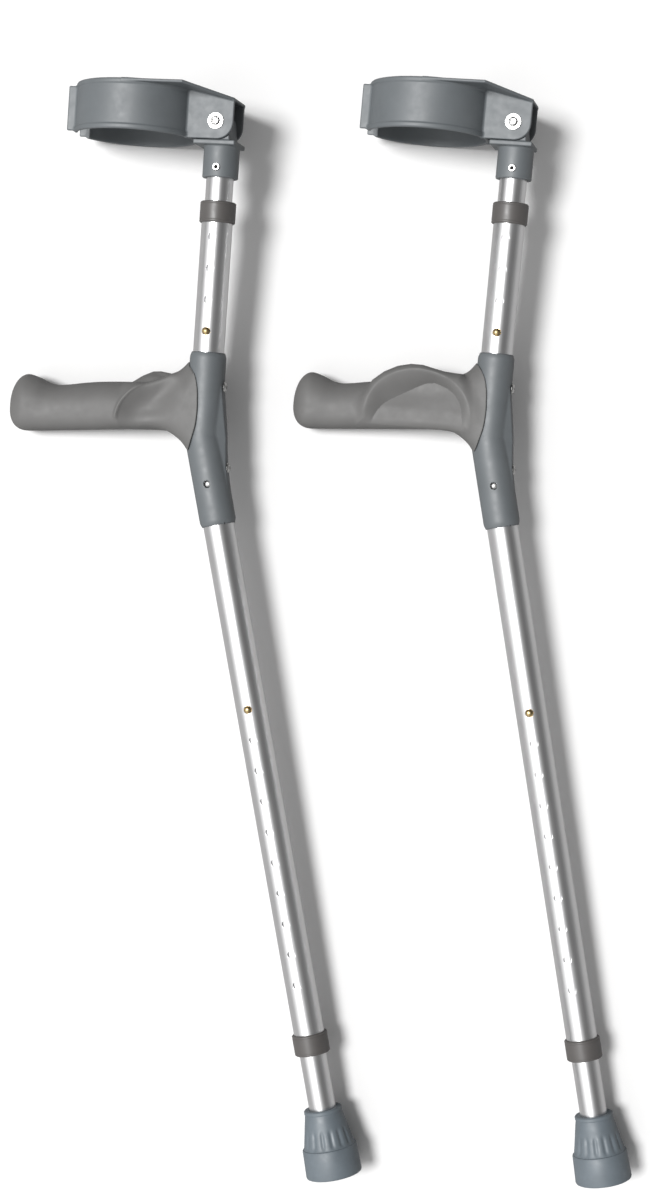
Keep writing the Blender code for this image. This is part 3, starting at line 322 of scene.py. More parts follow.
def surface(field, low, high, step):
    """Points, quads and normals of field = 0, by surface nets drawn onto the surface."""
    grid, low = sampled(field, low, high, step)
    inside = grid < 0
    cells = []
    places = []
    quads = []
    for axis in range(3):
        first = [slice(None)] * 3
        second = [slice(None)] * 3
        first[axis] = slice(0, -1)
        second[axis] = slice(1, None)
        at = np.argwhere(inside[tuple(first)] != inside[tuple(second)])
        end = at.copy()
        end[:, axis] += 1
        here = grid[tuple(at.T)]
        there = grid[tuple(end.T)]
        place = at.astype(float)
        place[:, axis] += here / (here - there)
        b, c = ((1, 2), (2, 0), (0, 1))[axis]
        corners = []
        for db, dc in ((0, 0), (-1, 0), (-1, -1), (0, -1)):
            cell = at.copy()
            cell[:, b] += db
            cell[:, c] += dc
            corners.append(np.ravel_multi_index(cell.T, grid.shape))
        corners = np.stack(corners, 1)
        corners[here >= 0] = corners[here >= 0][:, ::-1]
        quads.append(corners)
        cells.append(corners.ravel())
        places.append(np.repeat(place, 4, axis=0))
    unique, index = np.unique(np.concatenate(cells), return_inverse=True)
    place = np.concatenate(places)
    count = np.bincount(index)
    points = np.stack([np.bincount(index, place[:, k]) / count for k in range(3)], 1)
    points = low + points * step
    faces = index.reshape(-1, 4)
    for _ in range(2):
        slope = gradient(field, points)
        length = np.maximum((slope ** 2).sum(1), 0.2)
        move = np.clip(field(*points.T), -step, step) / length
        points = points - slope * move[:, None]
    normals = gradient(field, points)
    normals /= np.maximum(np.linalg.norm(normals, axis=1), 1e-6)[:, None]
    return points, faces, normals


# Meshes

def field_mesh(field, low, high, step):
    """A mesh of a field's surface, shaded by the field's own slope."""
    points, faces, normals = surface(field, low, high, step)
    mesh = bpy.data.meshes.new("field")
    mesh.from_pydata((points * MM).tolist(), [], faces.tolist())
    mesh.shade_smooth()
    mesh.normals_split_custom_set_from_vertices(normals.tolist())
    return mesh


def eased(profile, radius):
    """The profile with each corner but the ends rounded by an arc that fits."""
    steps = 4
    points = [np.array(p, float) for p in profile]
    result = []
    for index, corner in enumerate(points):
        if index in (0, len(points) - 1):
            result.append(tuple(corner))
            continue
        back = points[index - 1] - corner
        ahead = points[index + 1] - corner
        room = min(np.linalg.norm(back), np.linalg.norm(ahead)) * 0.48
        back /= np.linalg.norm(back)
        ahead /= np.linalg.norm(ahead)
        half = math.acos(float(np.clip(back @ ahead, -1, 1))) / 2
        if half > math.radians(86):
            result.append(tuple(corner))
            continue
        reach = min(radius / math.tan(half), room)
        size = reach * math.tan(half)
        middle = (back + ahead) / np.linalg.norm(back + ahead)
        centre = corner + middle * size / math.sin(half)
        start = corner + back * reach - centre
        end = corner + ahead * reach - centre
        for k in range(steps + 1):
            way = start * (1 - k / steps) + end * (k / steps)
            result.append(tuple(centre + way / np.linalg.norm(way) * size))
    return result


def turned_data(profile, segments, wave=None):
    """Points, faces and loop normals of a solid turned about Z.

    The profile runs outwards over the top, down the side and back in. It closes on itself
    unless it starts on the axis, where it then ends too. wave(angle, z, radius) adds to
    the radius.
    """
    profile = [tuple(map(float, p)) for p in profile]
    closed = profile[0][0] > 0
    count = len(profile)
    pairs = [(k, (k + 1) % count) for k in range(count if closed else count - 1)]
    flat = {}
    for k, m in pairs:
        dr, dz = profile[m][0] - profile[k][0], profile[m][1] - profile[k][1]
        size = math.hypot(dr, dz)
        flat[k] = (np.array((-dz, dr)) / size, size)
    ends = {}
    for k, m in pairs:
        for at, other in ((k, (k - 1) % count), (m, m)):
            own, size = flat[k]
            normal = own
            if other in flat and other != k and (closed or 0 < at < count - 1):
                near, near_size = flat[other]
                if own @ near > math.cos(math.radians(40)):
                    normal = own * size + near * near_size
                    normal = normal / np.linalg.norm(normal)
            ends[k, at] = normal
    angles = [math.tau * j / segments for j in range(segments)]
    points = []
    first = []
    for radius, z in profile:
        first.append(len(points))
        if radius < 1e-6:
            points.append((0.0, 0.0, z))
            continue
        for angle in angles:
            r = radius + (wave(angle, z, radius) if wave else 0.0)
            points.append((r * math.cos(angle), r * math.sin(angle), z))
    faces = []
    normals = []
    for k, m in pairs:
        pole_k, pole_m = profile[k][0] < 1e-6, profile[m][0] < 1e-6
        if pole_k and pole_m:
            continue
        for j in range(segments):
            n = (j + 1) % segments
            corners = [(k, j), (m, j), (m, n), (k, n)]
            if pole_k:
                corners = corners[:3]
            if pole_m:
                corners = [(k, j), (m, j), (k, n)]
            face = []
            for at, step in corners:
                pole = profile[at][0] < 1e-6
                face.append(first[at] + (0 if pole else step))
                angle = angles[j] + math.pi / segments if pole else angles[step]
                across, up = ends[k, at]
                normals.append((across * math.cos(angle), across * math.sin(angle), up))
            faces.append(face)
    return points, faces, normals


def turned(profile, segments, around=None, wave=None):
    """A mesh turned about Z; around turns it to its own axis and place, in millimetres."""
    points, faces, normals = turned_data(profile, segments, wave)
    mesh = bpy.data.meshes.new("turned")
    mesh.from_pydata([[c * MM for c in p] for p in points], [], faces)
    mesh.shade_smooth()
    if wave is None:
        mesh.normals_split_custom_set(normals)
    if around is not None:
        mesh.transform(scaled(around))
    return mesh


def scaled(matrix):
    """The matrix with its offset taken from millimetres to metres."""
    result = matrix.copy()
    result.translation = matrix.translation * MM
    return result


def holed(mesh, cutter_meshes):
    """The mesh with cutters taken out of it."""
    body = bpy.data.objects.new("holed", mesh)
    bpy.context.scene.collection.objects.link(body)
    cutters = []
    for cutter in cutter_meshes:
        tool = bpy.data.objects.new("hole_tool", cutter)
        bpy.context.scene.collection.objects.link(tool)
        change = body.modifiers.new("hole", "BOOLEAN")
        change.operation = "DIFFERENCE"
        change.solver = "EXACT"
        change.object = tool
        cutters.append(tool)
    depsgraph = bpy.context.evaluated_depsgraph_get()
    result = bpy.data.meshes.new_from_object(body.evaluated_get(depsgraph))
    for obj in (body, *cutters):
        bpy.data.objects.remove(obj, do_unlink=True)
    return result


def tube_shading(mesh):
    """Radial shading on a tube's round faces; its ends and holes keep their own."""
    mesh.shade_smooth()
    normals = []
    for face in mesh.polygons:
        own = face.normal
        for index in face.vertices:
            point = mesh.vertices[index].co
            radial = Vector((point.x, point.y, 0)).normalized()
            facing = own.dot(radial)
            if facing > 0.97:
                normals.append(radial)
            elif facing < -0.97:
                normals.append(-radial)
            else:
                normals.append(own)
    mesh.normals_split_custom_set(normals)
    return mesh


def tube(outer, low, high, side_holes, other=()):
    """A tube along Z with round holes in its left side, and other cutters."""
    inner = outer - WALL
    edge = 0.25
    profile = [
        (inner, high), (outer - edge, high), (outer, high - edge), (outer, low + edge),
        (outer - edge, low), (inner, low),
    ]
    cutters = [side_hole(at, HOLE_R) for at in side_holes]
    return tube_shading(holed(turned(profile, 96), cutters + list(other)))


TO_LEFT = Matrix.Rotation(-math.pi / 2, 4, "X")


def side_hole(at, radius, both=False):
    """A cutter from the axis out to the left side at a height."""
    low = -30 if both else 2
    profile = [(0, 30), (radius, 30), (radius, low), (0, low)]
    return turned(profile, 40, Matrix.Translation((0, 0, at)) @ TO_LEFT)


# Housing

BELLY_BACK = -WEB_BACK + WEB_BELLY * math.tan(BEND) + SLEEVE_R / math.cos(BEND) + 1.0
LEAN = math.atan2(BELLY_BACK, WEB_BELLY)


def in_lower(x, z):
    """Coordinates across and down the lower tube, from coordinates in the crutch frame."""
    c, s = math.cos(BEND), math.sin(BEND)
    return x * c - z * s, -x * s - z * c


def behind_lower(height, distance):
    """Point (x, z) at a distance behind the lower tube's axis, at a height."""
    return (height * math.tan(BEND) - distance / math.cos(BEND), height)


def sleeve(rho, z, length):
    """A sleeve with a chamfered end, from just past the bend."""
    body = rod(rho, z, SLEEVE_R, SLEEVE_START, length, 0.5)
    chamfer = (rho - SLEEVE_R) * CHAMFER_LENGTH + (z - length + CHAMFER_LENGTH) * CHAMFER_IN
    return smooth_max(body, chamfer / math.hypot(CHAMFER_LENGTH, CHAMFER_IN), 0.7)


def from_spigot(x, y, z):
    """Distance from the spigot's axis, and the way along it."""
    tilt = math.atan(SPIGOT_DROOP)
    along = x * math.cos(tilt) - (z - SPIGOT_HEIGHT) * math.sin(tilt)
    beside = x * math.sin(tilt) + (z - SPIGOT_HEIGHT) * math.cos(tilt)
    return np.hypot(y, beside), along


def web_field(x, y, z):
    """The gusset behind the bend, thinner towards its back edge."""
    belly = behind_lower(-WEB_BELLY, SLEEVE_R)
    foot = behind_lower(-WEB_FOOT, SLEEVE_R - 2.6)
    outline = [
        (0, WEB_TOP - 2), (0.6 - SLEEVE_R, WEB_TOP), (-WEB_BACK, WEB_CORNER),
        (belly[0] - 1.0, -WEB_BELLY), foot, (foot[0] + SLEEVE_R, 10 - WEB_FOOT),
    ]
    behind = -x - WEB_ROOT - np.maximum(-z, 0.0) * math.tan(BEND)
    half = WEB_HALF_WIDTH - WEB_TAPER * behind - 0.05 * np.abs(z - 8)
    half = np.clip(half, WEB_LEAST_HALF_WIDTH, 12.0)
    return rounded(polygon(x, z, outline), (np.abs(y) - half) * 0.85, 0.8)


def housing_field(x, y, z):
    """Two sleeves, the gusset behind the bend and the spigot, with all their bores."""
    across, down = in_lower(x, z)
    rho = np.hypot(x, y)
    lower_rho = np.hypot(across, y)
    sleeves = np.minimum(sleeve(rho, z, UPPER_SLEEVE), sleeve(lower_rho, down, LOWER_SLEEVE))
    shape = smooth_min(sleeves, web_field(x, y, z), 0.7)
    spigot = rod(*from_spigot(x, y, z), SPIGOT_R, 0, SPIGOT_LENGTH, 0.8)
    shape = smooth_min(shape, spigot, 1.0)
    for from_axis, along, length in ((rho, z, UPPER_SLEEVE), (lower_rho, down, LOWER_SLEEVE)):
        bore = rod(from_axis, along, SLEEVE_BORE_R, TUBE_START - GAP, length + PAST)
        shape = smooth_max(shape, -bore, 0.5)
    upper_rivet = rod(np.hypot(y, z - UPPER_RIVET_AT), -x, RIVET_HOLE_R, 0, PAST)
    dx = x + LOWER_RIVET_AT * math.sin(BEND)
    dz = z + LOWER_RIVET_AT * math.cos(BEND)
    out = -dx * math.cos(LEAN) + dz * math.sin(LEAN)
    off = dx * math.sin(LEAN) + dz * math.cos(LEAN)
    lower_rivet = rod(np.hypot(y, off), out, RIVET_HOLE_R, 0, PAST)
    pin = rod(np.hypot(across, down - SIDE_PIN_AT), y, SIDE_PIN_R + GAP, 0, PAST)
    for hole in (upper_rivet, lower_rivet, pin):
        shape = smooth_max(shape, -hole, 0.4)
    return shape


# Cuff, with its pivot as the origin

def cheek_field(x, y, z, side):
    """One bracket plate beside the knuckle."""
    front = RING_X - math.sqrt(CUFF_R ** 2 - CHEEK_OUT ** 2) + 1.5
    top = BAND_TOP - FLANGE_T / 2
    corner = (CHEEK_CORNER_R - CHEEK_BACK, CHEEK_BOTTOM + CHEEK_CORNER_R)
    outline = [(front, CHEEK_BOTTOM), (front, top), (CUFF_BACK, top)]
    outline += [(-CHEEK_BACK, top - FLANGE_DROP), *arc(corner, CHEEK_CORNER_R, 180, 270, 10)]
    middle = side * (CHEEK_IN + CHEEK_OUT) / 2
    half = (CHEEK_OUT - CHEEK_IN) / 2
    return rounded(polygon(x, z, outline), np.abs(y - middle) - half, 0.8)


def flange_field(x, y, z):
    """The shoulder behind the ring: flat to a fold, then sloping and narrowing."""
    back = -CHEEK_BACK - 0.3
    low = BAND_TOP - FLANGE_DROP
    profile = [
        (RING_X, BAND_TOP), (CUFF_BACK, BAND_TOP), (back, low), (back, low - FLANGE_T),
        (CUFF_BACK, BAND_TOP - FLANGE_T), (RING_X, BAND_TOP - FLANGE_T),
    ]
    wide = CUFF_R - 0.3
    narrow = CHEEK_OUT + 0.3
    plan = [
        (RING_X, wide), (CUFF_BACK, wide), (back, narrow), (back, -narrow),
        (CUFF_BACK, -wide), (RING_X, -wide),
    ]
    return rounded(polygon(x, z, profile), polygon(x, y, plan), 0.9)


def cuff_field(x, y, z):
    """Open ring with a bead on either rim, front lips, cheeks and flange."""
    rho = np.hypot(x - RING_X, y)
    middle = (BAND_TOP + BAND_BOTTOM) / 2
    half = (BAND_TOP - BAND_BOTTOM) / 2
    from_middle = np.abs(z - middle)
    outer = rounded(rho - (CUFF_R - 0.8), from_middle - half, 1.0)
    bead = rounded(rho - CUFF_R, np.abs(from_middle - half + 2.1) - 2.1, 1.4)
    shape = smooth_min(outer, bead, 0.8)
    lip_low = middle - LIP_DROP - LIP_HALF_HEIGHT
    lip_high = middle - LIP_DROP + LIP_HALF_HEIGHT
    for side in (1, -1):
        shape = smooth_min(shape, cheek_field(x, y, z, side), 1.6)
        inner = side * FRONT_HALF_GAP
        outer_face = side * (FRONT_HALF_GAP + LIP_T)
        low = (LIP_START, min(inner, outer_face), lip_low)
        high = (LIP_END, max(inner, outer_face), lip_high)
        shape = smooth_min(shape, block(x, y, z, low, high, 1.2), 2.0)
    shape = smooth_min(shape, flange_field(x, y, z), 1.6)
    inside = rod(rho, z, CUFF_INNER_R, BAND_BOTTOM - 9, BAND_TOP + 9)
    low = (RING_X, -FRONT_HALF_GAP, BAND_BOTTOM - PAST)
    high = (LIP_END + PAST, FRONT_HALF_GAP, BAND_TOP + PAST)
    opening = block(x, y, z, low, high, 0.2)
    shape = smooth_max(shape, -smooth_min(inside, opening, 0.5), 1.3)
    hole = rod(np.hypot(x, z), y, PIVOT_R + GAP, -PAST, PAST)
    return smooth_max(shape, -hole, 0.5)


def socket_field(x, y, z):
    """Socket, base plate and knuckle in one moulding."""
    rho = np.hypot(x, y)
    socket = rod(rho, z, SOCKET_R, SOCKET_BOTTOM, PLATE_BOTTOM + 2, 0.9)
    low = (-SOCKET_R, -PLATE_HALF_WIDTH, PLATE_BOTTOM)
    plate = block(x, y, z, low, (PIVOT_FORWARD + 18, PLATE_HALF_WIDTH, PLATE_TOP), 1.0)
    reach = KNUCKLE_R + 2
    outline = [(PIVOT_FORWARD + reach, PLATE_TOP - 1)]
    outline += arc((PIVOT_FORWARD, PIVOT_AT), KNUCKLE_R, 0, 180, 14)
    outline += [(PIVOT_FORWARD - reach, PLATE_TOP - 1)]
    knuckle = rounded(polygon(x, z, outline), np.abs(y) - KNUCKLE_HALF_WIDTH, 0.8)
    shape = smooth_min(smooth_min(socket, plate, 2.0), knuckle, 1.5)
    bore = rod(rho, z, INNER_R + GAP, SOCKET_BOTTOM - 9, SOCKET_BORE_TOP)
    shape = smooth_max(shape, -bore, 0.6)
    pivot = rod(np.hypot(x - PIVOT_FORWARD, z - PIVOT_AT), y, PIVOT_R + GAP, -PAST, PAST)
    rivet = rod(np.hypot(x, z - SOCKET_RIVET_AT), y, RIVET_HOLE_R, -PAST, PAST)
    return smooth_max(shape, -np.minimum(pivot, rivet), 0.4)


# Grip

def smooth_line(points, at):
    """Smooth curve through points, read at some places."""
    xs, ys = np.array(points, float).T
    slope = np.gradient(ys, xs)
    i = np.clip(np.searchsorted(xs, at) - 1, 0, len(xs) - 2)
    h = xs[i + 1] - xs[i]
    t = np.clip((at - xs[i]) / h, 0.0, 1.0)
    rise = (2 * t ** 3 - 3 * t ** 2 + 1) * ys[i] + (3 * t ** 2 - 2 * t ** 3) * ys[i + 1]
    return rise + (t ** 3 - 2 * t ** 2 + t) * h * slope[i] + (t ** 3 - t ** 2) * h * slope[i + 1]


def ease(value):
    """Smooth step of values between 0 and 1."""
    value = np.clip(value, 0.0, 1.0)
    return value * value * (3 - 2 * value)


def softened(points):
    """The line with its corners cut twice."""
    for _ in range(2):
        cut = [points[0]]
        for (ax, az), (bx, bz) in zip(points, points[1:]):
            cut.append((ax * 0.75 + bx * 0.25, az * 0.75 + bz * 0.25))
            cut.append((ax * 0.25 + bx * 0.75, az * 0.25 + bz * 0.75))
        points = cut + [points[-1]]
    return points


THUMB_EDGE = softened(
    [(68.4, 0), (68.7, 11.1), (68.0, 16.2), (65.6, 23.2), (61.1, 29.9), (54.5, 36.3),
     (47.7, 40.1), (39.5, 44.0), (29.3, 49.0), (20.4, 53.6), (16, 60), (10, 70)]
) + [(-30, 70), (-30, -40), (66, -40)]
DISH_FLOOR = softened(
    [(97, -8), (95, 10), (86.9, 21.5), (78.1, 26.8), (69.4, 31.7), (60.7, 36.9), (54.8, 39.9),
     (48, 41.2), (43.4, 40.2), (33.1, 36.5), (25, 28), (21, 16), (20, -8)]
)


def grip_body(x, y, z, length):
    """The main grip: rounded sections between its upper and lower lines."""
    top = smooth_line(GRIP_TOP, x)
    low = smooth_line(GRIP_LOW, x)
    middle = low + (top - low) * 0.45
    above = z > middle
    half = np.where(above, top - middle, middle - low)
    boxy = ease((x - 14) / 14) * (1 - ease((x - 50) / 20)) * (y > 0)
    power = np.where(above, 2.0 + 2.6 * boxy, 3.2)
    width = GRIP_HALF_WIDTH * (1 + GRIP_TIP_SWELL * np.exp(-((x - length + 16) / 14) ** 2))
    swell = np.exp(-((x - THUMB_SWELL_AT) / THUMB_SWELL_SPREAD) ** 2)
    width = width + THUMB_SWELL * swell * (y > 0)
    section = ((np.abs(y) / width) ** power + (np.abs(z - middle) / half) ** power) ** (1 / power)
    cap = np.maximum((x - length + GRIP_TIP_ROUND) / GRIP_TIP_ROUND, 0.0)
    reach = (section ** 2.2 + cap ** 2.2) ** (1 / 2.2)
    return (reach - 1) * np.minimum(half, width)


def palm_wing(x, y, z, hand):
    """The raised rest for the palm's edge, on the outer side."""
    outer = PALM_OUTER + PALM_FLARE * ease((x - 16) / 30) * ease((z + 2) / 30)
    slab = np.abs(y + (outer + PALM_INNER) / 2) - (outer - PALM_INNER) / 2
    return rounded(polygon(x, z, PALM_EDGE[hand]), slab, PALM_EDGE_R)


def palm_relief(x, z):
    """How far the outer face stands out: a round rim, and the dish that it encloses."""
    radius = np.hypot((x - RIM_CENTRE[0]) / RIM_RADII[0], (z - RIM_CENTRE[1]) / RIM_RADII[1])
    rim = np.where(radius < 1, 1.0, 1 - ease((radius - 1) / RIM_FALL))
    inside = np.maximum(1.02 - radius, 0.0) * RIM_MEAN_RADIUS
    outside_floor = np.maximum(polygon(x, z, DISH_FLOOR), 0.0)
    wall = inside / (inside + outside_floor + 1e-6)
    fade = 1 - 0.45 * ease((60 - x) / 40)
    rise = 1 - (1 - np.clip((z - 4) / 32, 0, 1)) ** 1.5
    sink = DISH_DEPTH * wall ** 1.5 * rise * fade
    return RIM_HEIGHT * rim * ease((z - 4) / 16) * fade - sink


def thumb_relief(x, z):
    """How far the inner face stands out: a fine bead, and the bowl beside it."""
    inside = -polygon(x, z, THUMB_EDGE)
    slope = np.sin(np.clip(inside / THUMB_BOWL_WALL, 0, 1) * math.pi / 2)
    lean = 0.3 * (46 - z)
    lift = ease((x - (8 + lean)) / (24 + lean))
    sink = THUMB_BOWL_DEPTH * slope * lift * ease((z + 4) / 25)
    bead = THUMB_BEAD * np.exp(-((inside + THUMB_BEAD_WIDTH) / THUMB_BEAD_WIDTH) ** 2)
    return bead * ease((z - 8) / 5) * ease((x - 12) / 6) - sink


def grip_field(hand, length):
    """The right hand's grip, with the rests of one hand's photographed side."""

    def field(x, y, z):
        out = np.where(y > 0, thumb_relief(x, z), palm_relief(x, z))
        share = ease((np.abs(y) - 2) / 8)
        pushed = y - np.sign(y) * out * share
        body = grip_body(x, pushed, z, length)
        shape = smooth_min(body, palm_wing(x, pushed, z, hand), 5.0)
        shape = smooth_max(shape, smooth_line(SADDLE_EDGE, z) - x, 0.8)
        across, down = in_lower(x, z)
        bore = (SLEEVE_R + GAP, -4, 140)
        sleeves = np.minimum(rod(np.hypot(x, y), z, *bore), rod(np.hypot(across, y), down, *bore))
        spigot = rod(*from_spigot(x, y, z), SPIGOT_R + GAP, 0, SPIGOT_LENGTH + GAP)
        return smooth_max(shape, -np.minimum(sleeves, spigot), 0.3)

    return field


def grip_mesh(hand):
    """The grip of one hand, in the right hand's coordinates."""
    length = GRIP_LENGTH[hand]
    return field_mesh(grip_field(hand, length), (0, -24, -18), (length, 22, 66), GRIP_STEP)


def sharpen(mesh, degrees):
    """Smooth shading, with the edges sharper than an angle kept hard."""
    mesh.shade_smooth()
    mesh.set_sharp_from_angle(angle=math.radians(degrees))
    return mesh


def mirrored(mesh):
    """The mesh reflected from side to side, with its shading."""
    normals = [corner.vector.copy() for corner in mesh.corner_normals]
    mesh.transform(Matrix.Scale(-1, 4, (0, 1, 0)))
    mesh.flip_normals()
    flipped = [None] * len(normals)
    for face in mesh.polygons:
        first = face.loop_start
        count = face.loop_total
        order = [first] + [first + count - k for k in range(1, count)]
        for place, source in zip(range(first, first + count), order):
            x, y, z = normals[source]
            flipped[place] = (x, -y, z)
    mesh.normals_split_custom_set(flipped)
    return mesh


# Small turned pieces

def collar_profile():
    """Half section of a collar with two fine grooves; its lip is at z = 0."""
    outside = [(COLLAR_R - COLLAR_EDGE, 0), (COLLAR_R, -COLLAR_EDGE)]
    for groove in COLLAR_GROOVES:
        outside += [(COLLAR_R, groove), (COLLAR_R - 0.25, groove - 0.3), (COLLAR_R, groove - 0.6)]
    return [
        (INNER_R + GAP, 0),
        *outside,
        (COLLAR_R, -COLLAR_HEIGHT + COLLAR_EDGE),
        (COLLAR_R - COLLAR_EDGE, -COLLAR_HEIGHT), (OUTER_R + GAP, -COLLAR_HEIGHT),
        (OUTER_R + GAP, -COLLAR_LIP), (INNER_R + GAP, -COLLAR_LIP),
    ]


def rear_rivet_profile(seat):
    """Half section of a blind rivet with a dimpled domed head."""
    head = seat + RIVET_HEAD
    return [
        (0, head - 1.1), (1.3, head - 1.1), (1.8, head), (3.0, head - 0.3),
        (4.0, head - 1.1), (RIVET_HEAD_R, seat + 0.1), (RIVET_HEAD_R - 0.1, seat),
        (RIVET_R, seat), (RIVET_R, RIVET_FOOT), (0, RIVET_FOOT),
    ]


def side_pin_profile():
    """Half section of the pin in the lower sleeve's side."""
    face = SLEEVE_R - SIDE_PIN_SUNK
    return [
        (0, face), (SIDE_PIN_R * 0.6, face - 0.15), (SIDE_PIN_R, face - 0.6),
        (SIDE_PIN_R, RIVET_FOOT), (0, RIVET_FOOT),
    ]


def button_profile():
    """Half section of a snap button: domed end, shank, and flange inside the tube."""
    tip = OUTER_R + BUTTON_PROUD
    seat = INNER_R - WALL - GAP
    return [
        (0, tip), (1.2, tip - 0.12), (2.2, tip - 0.55), (BUTTON_R, tip - 1.5),
        (BUTTON_R, seat), (BUTTON_FLANGE_R, seat),
        (BUTTON_FLANGE_R, seat - BUTTON_FLANGE_T), (0, seat - BUTTON_FLANGE_T),
    ]


def socket_rivet_profile():
    """Half section of the tubular rivet through the socket."""
    seat = SOCKET_R + GAP
    end = seat + 1.0
    half = [(1.2, end - 0.5), (1.7, end), (2.6, end), (3.3, seat), (RIVET_R, seat)]
    return half + [(r, -z) for r, z in reversed(half)]


def cuff_rivet_profile():
    """Half section of the pivot rivet: on either end a raised rim round a dished middle."""
    seat = CHEEK_OUT + GAP + WASHER_T + GAP
    end = seat + CUFF_RIVET_HEAD
    half = [(0, end - 0.5), (1.3, end - 0.6), (1.8, end - 0.9), (2.4, end)]
    half += [(CUFF_RIVET_HEAD_R, seat), (PIVOT_R, seat)]
    return half + [(r, -z) for r, z in reversed(half)]


def washer_profile(side):
    """Half section of a cheek's washer."""
    low = CHEEK_OUT + GAP
    high = low + WASHER_T
    if side < 0:
        low, high = -high, -low
    return [(PIVOT_R + GAP, high), (WASHER_R, high), (WASHER_R, low), (PIVOT_R + GAP, low)]


def ferrule_profile():
    """Half section of the rubber tip, hanging down from its top at z = 0."""
    base = -FERRULE_HEIGHT
    step = base + FERRULE_FOOT
    bore = INNER_R + GAP
    outside = [(bore, 0), (14.9, 0), (15.7, -0.8), (15.7, -3.0), (15.3, -3.6)]
    for k in range(21):
        t = k / 20
        radius = FERRULE_NECK_R + (FERRULE_CONE_R - FERRULE_NECK_R) * t
        outside.append((radius, -FERRULE_NECK + (step + 1.0 + FERRULE_NECK) * t))
    outside += [
        (21.2, step + 0.5), (22.0, step + 0.3), (22.4, step - 0.4), (22.6, step - 8.0),
        (23.1, base + 1.6), (22.7, base + 0.5), (21.8, base),
    ]
    for outer in TREAD_RADII:
        inner = outer - TREAD_WIDTH
        roof = base + TREAD_DEPTH
        outside += [(outer, base), (outer, roof), (inner, roof), (inner, base)]
    return [(0, -FERRULE_BORE_DEPTH), (bore, -FERRULE_BORE_DEPTH), *outside, (0, base)]


def flutes(angle, z, radius):
    """Shallow hollows round the lower part of the ferrule's cone."""
    if not 15.0 < radius < 21.1:
        return 0.0
    share = float(ease(np.array((-z - 14.0) / 5.0)) * (1 - ease(np.array((-z - 28.0) / 3.0))))
    return -FLUTE_DEPTH * share * (0.5 + 0.5 * math.cos(angle * FLUTES)) ** 2


# Materials

def feed(tree, socket, value):
    """Set a node's input, either to a value or to another node's output."""
    if isinstance(value, bpy.types.NodeSocket):
        tree.links.new(value, socket)
    else:
        socket.default_value = value


class Shader:
    """A Principled material with a few procedural layers."""

    def __init__(self, name):
        self.material = bpy.data.materials.new(name)
        self.material.use_nodes = True
        self.tree = self.material.node_tree
        self.principled = self.tree.nodes["Principled BSDF"]
        self.coordinates = self.tree.nodes.new("ShaderNodeTexCoord")

    def node(self, kind, **inputs):
        """Add a node and set its inputs."""
        node = self.tree.nodes.new(kind)
        for key, value in inputs.items():
            feed(self.tree, node.inputs[key.replace("_", " ")], value)
        return node

    def local_place(self):
        """The point's place in its tube's own frame, kept in the mesh."""
        node = self.tree.nodes.new("ShaderNodeAttribute")
        node.attribute_name = "place"
        return node.outputs["Vector"]

    def noise(self, scale, stretch=(1, 1, 1), detail=3.0, rough=0.55, place=None):
        """Noise in cycles for each metre, squeezed along each axis."""
        place = place or self.coordinates.outputs["Object"]
        at = self.node("ShaderNodeMapping", Vector=place, Scale=stretch).outputs[0]
        noise = self.node(
            "ShaderNodeTexNoise", Vector=at, Scale=scale, Detail=detail, Roughness=rough
        )
        return noise.outputs["Fac"]

    def ranged(self, value, low, high):
        """A noise value, mostly from 0.3 to 0.7, taken to another range."""
        node = self.node(
            "ShaderNodeMapRange", Value=value, From_Min=0.3, From_Max=0.7, To_Min=low, To_Max=high
        )
        return node.outputs[0]

    def blend(self, factor, dark, light):
        """A colour between two."""
        node = self.tree.nodes.new("ShaderNodeMix")
        node.data_type = "RGBA"
        self.tree.links.new(factor, node.inputs[0])
        node.inputs["A"].default_value = (*dark, 1)
        node.inputs["B"].default_value = (*light, 1)
        return node.outputs["Result"]

    def bump(self, height, distance):
        """A bump of a height in metres."""
        return self.node("ShaderNodeBump", Height=height, Distance=distance).outputs[0]

    def finish(self, colour, roughness, normal=None, **values):
        """Link the layers to the shader and set its plain values."""
        shader = self.principled
        self.tree.links.new(colour, shader.inputs["Base Color"])
        self.tree.links.new(roughness, shader.inputs["Roughness"])
        if normal is not None:
            self.tree.links.new(normal, shader.inputs["Normal"])
        for key, value in values.items():
            shader.inputs[key.replace("_", " ")].default_value = value
        return self.material


def tint(colour, factor):
    """The colour made lighter or darker."""
    return tuple(min(1.0, c * factor) for c in colour)


def plastic(name, colour, roughness, grain, shine):
    """Moulded plastic: faint mottling, a fine grain and slightly uneven gloss."""
    s = Shader(name)
    mottle = s.noise(55.0, detail=4.0)
    fine = s.noise(2600.0, detail=2.0)
    shade = s.blend(s.ranged(mottle, 0, 1), tint(colour, 0.95), tint(colour, 1.05))
    gloss = s.ranged(s.noise(140.0), roughness - 0.04, roughness + 0.05)
    return s.finish(shade, gloss, s.bump(fine, grain * MM), Specular_IOR_Level=shine)


def rubber(name, colour):
    """Matt rubber with dull and slightly polished patches."""
    s = Shader(name)
    mottle = s.noise(80.0, detail=5.0, rough=0.65)
    fine = s.noise(1500.0, detail=3.0)
    shade = s.blend(s.ranged(mottle, 0, 1), tint(colour, 0.92), tint(colour, 1.08))
    gloss = s.ranged(s.noise(120.0), 0.46, 0.60)
    return s.finish(shade, gloss, s.bump(fine, 0.012 * MM), Specular_IOR_Level=0.9)


def aluminium(name, colour, roughness):
    """Satin aluminium with faint drawing lines along the tube."""
    s = Shader(name)
    lines = s.noise(1400.0, (1, 1, 0.015), detail=4.0, place=s.local_place())
    cloud = s.noise(30.0, detail=3.0)
    shade = s.blend(s.ranged(cloud, 0, 1), tint(colour, 0.97), tint(colour, 1.02))
    gloss = s.ranged(lines, roughness - 0.03, roughness + 0.05)
    return s.finish(shade, gloss, s.bump(lines, 0.004 * MM), Metallic=1.0)


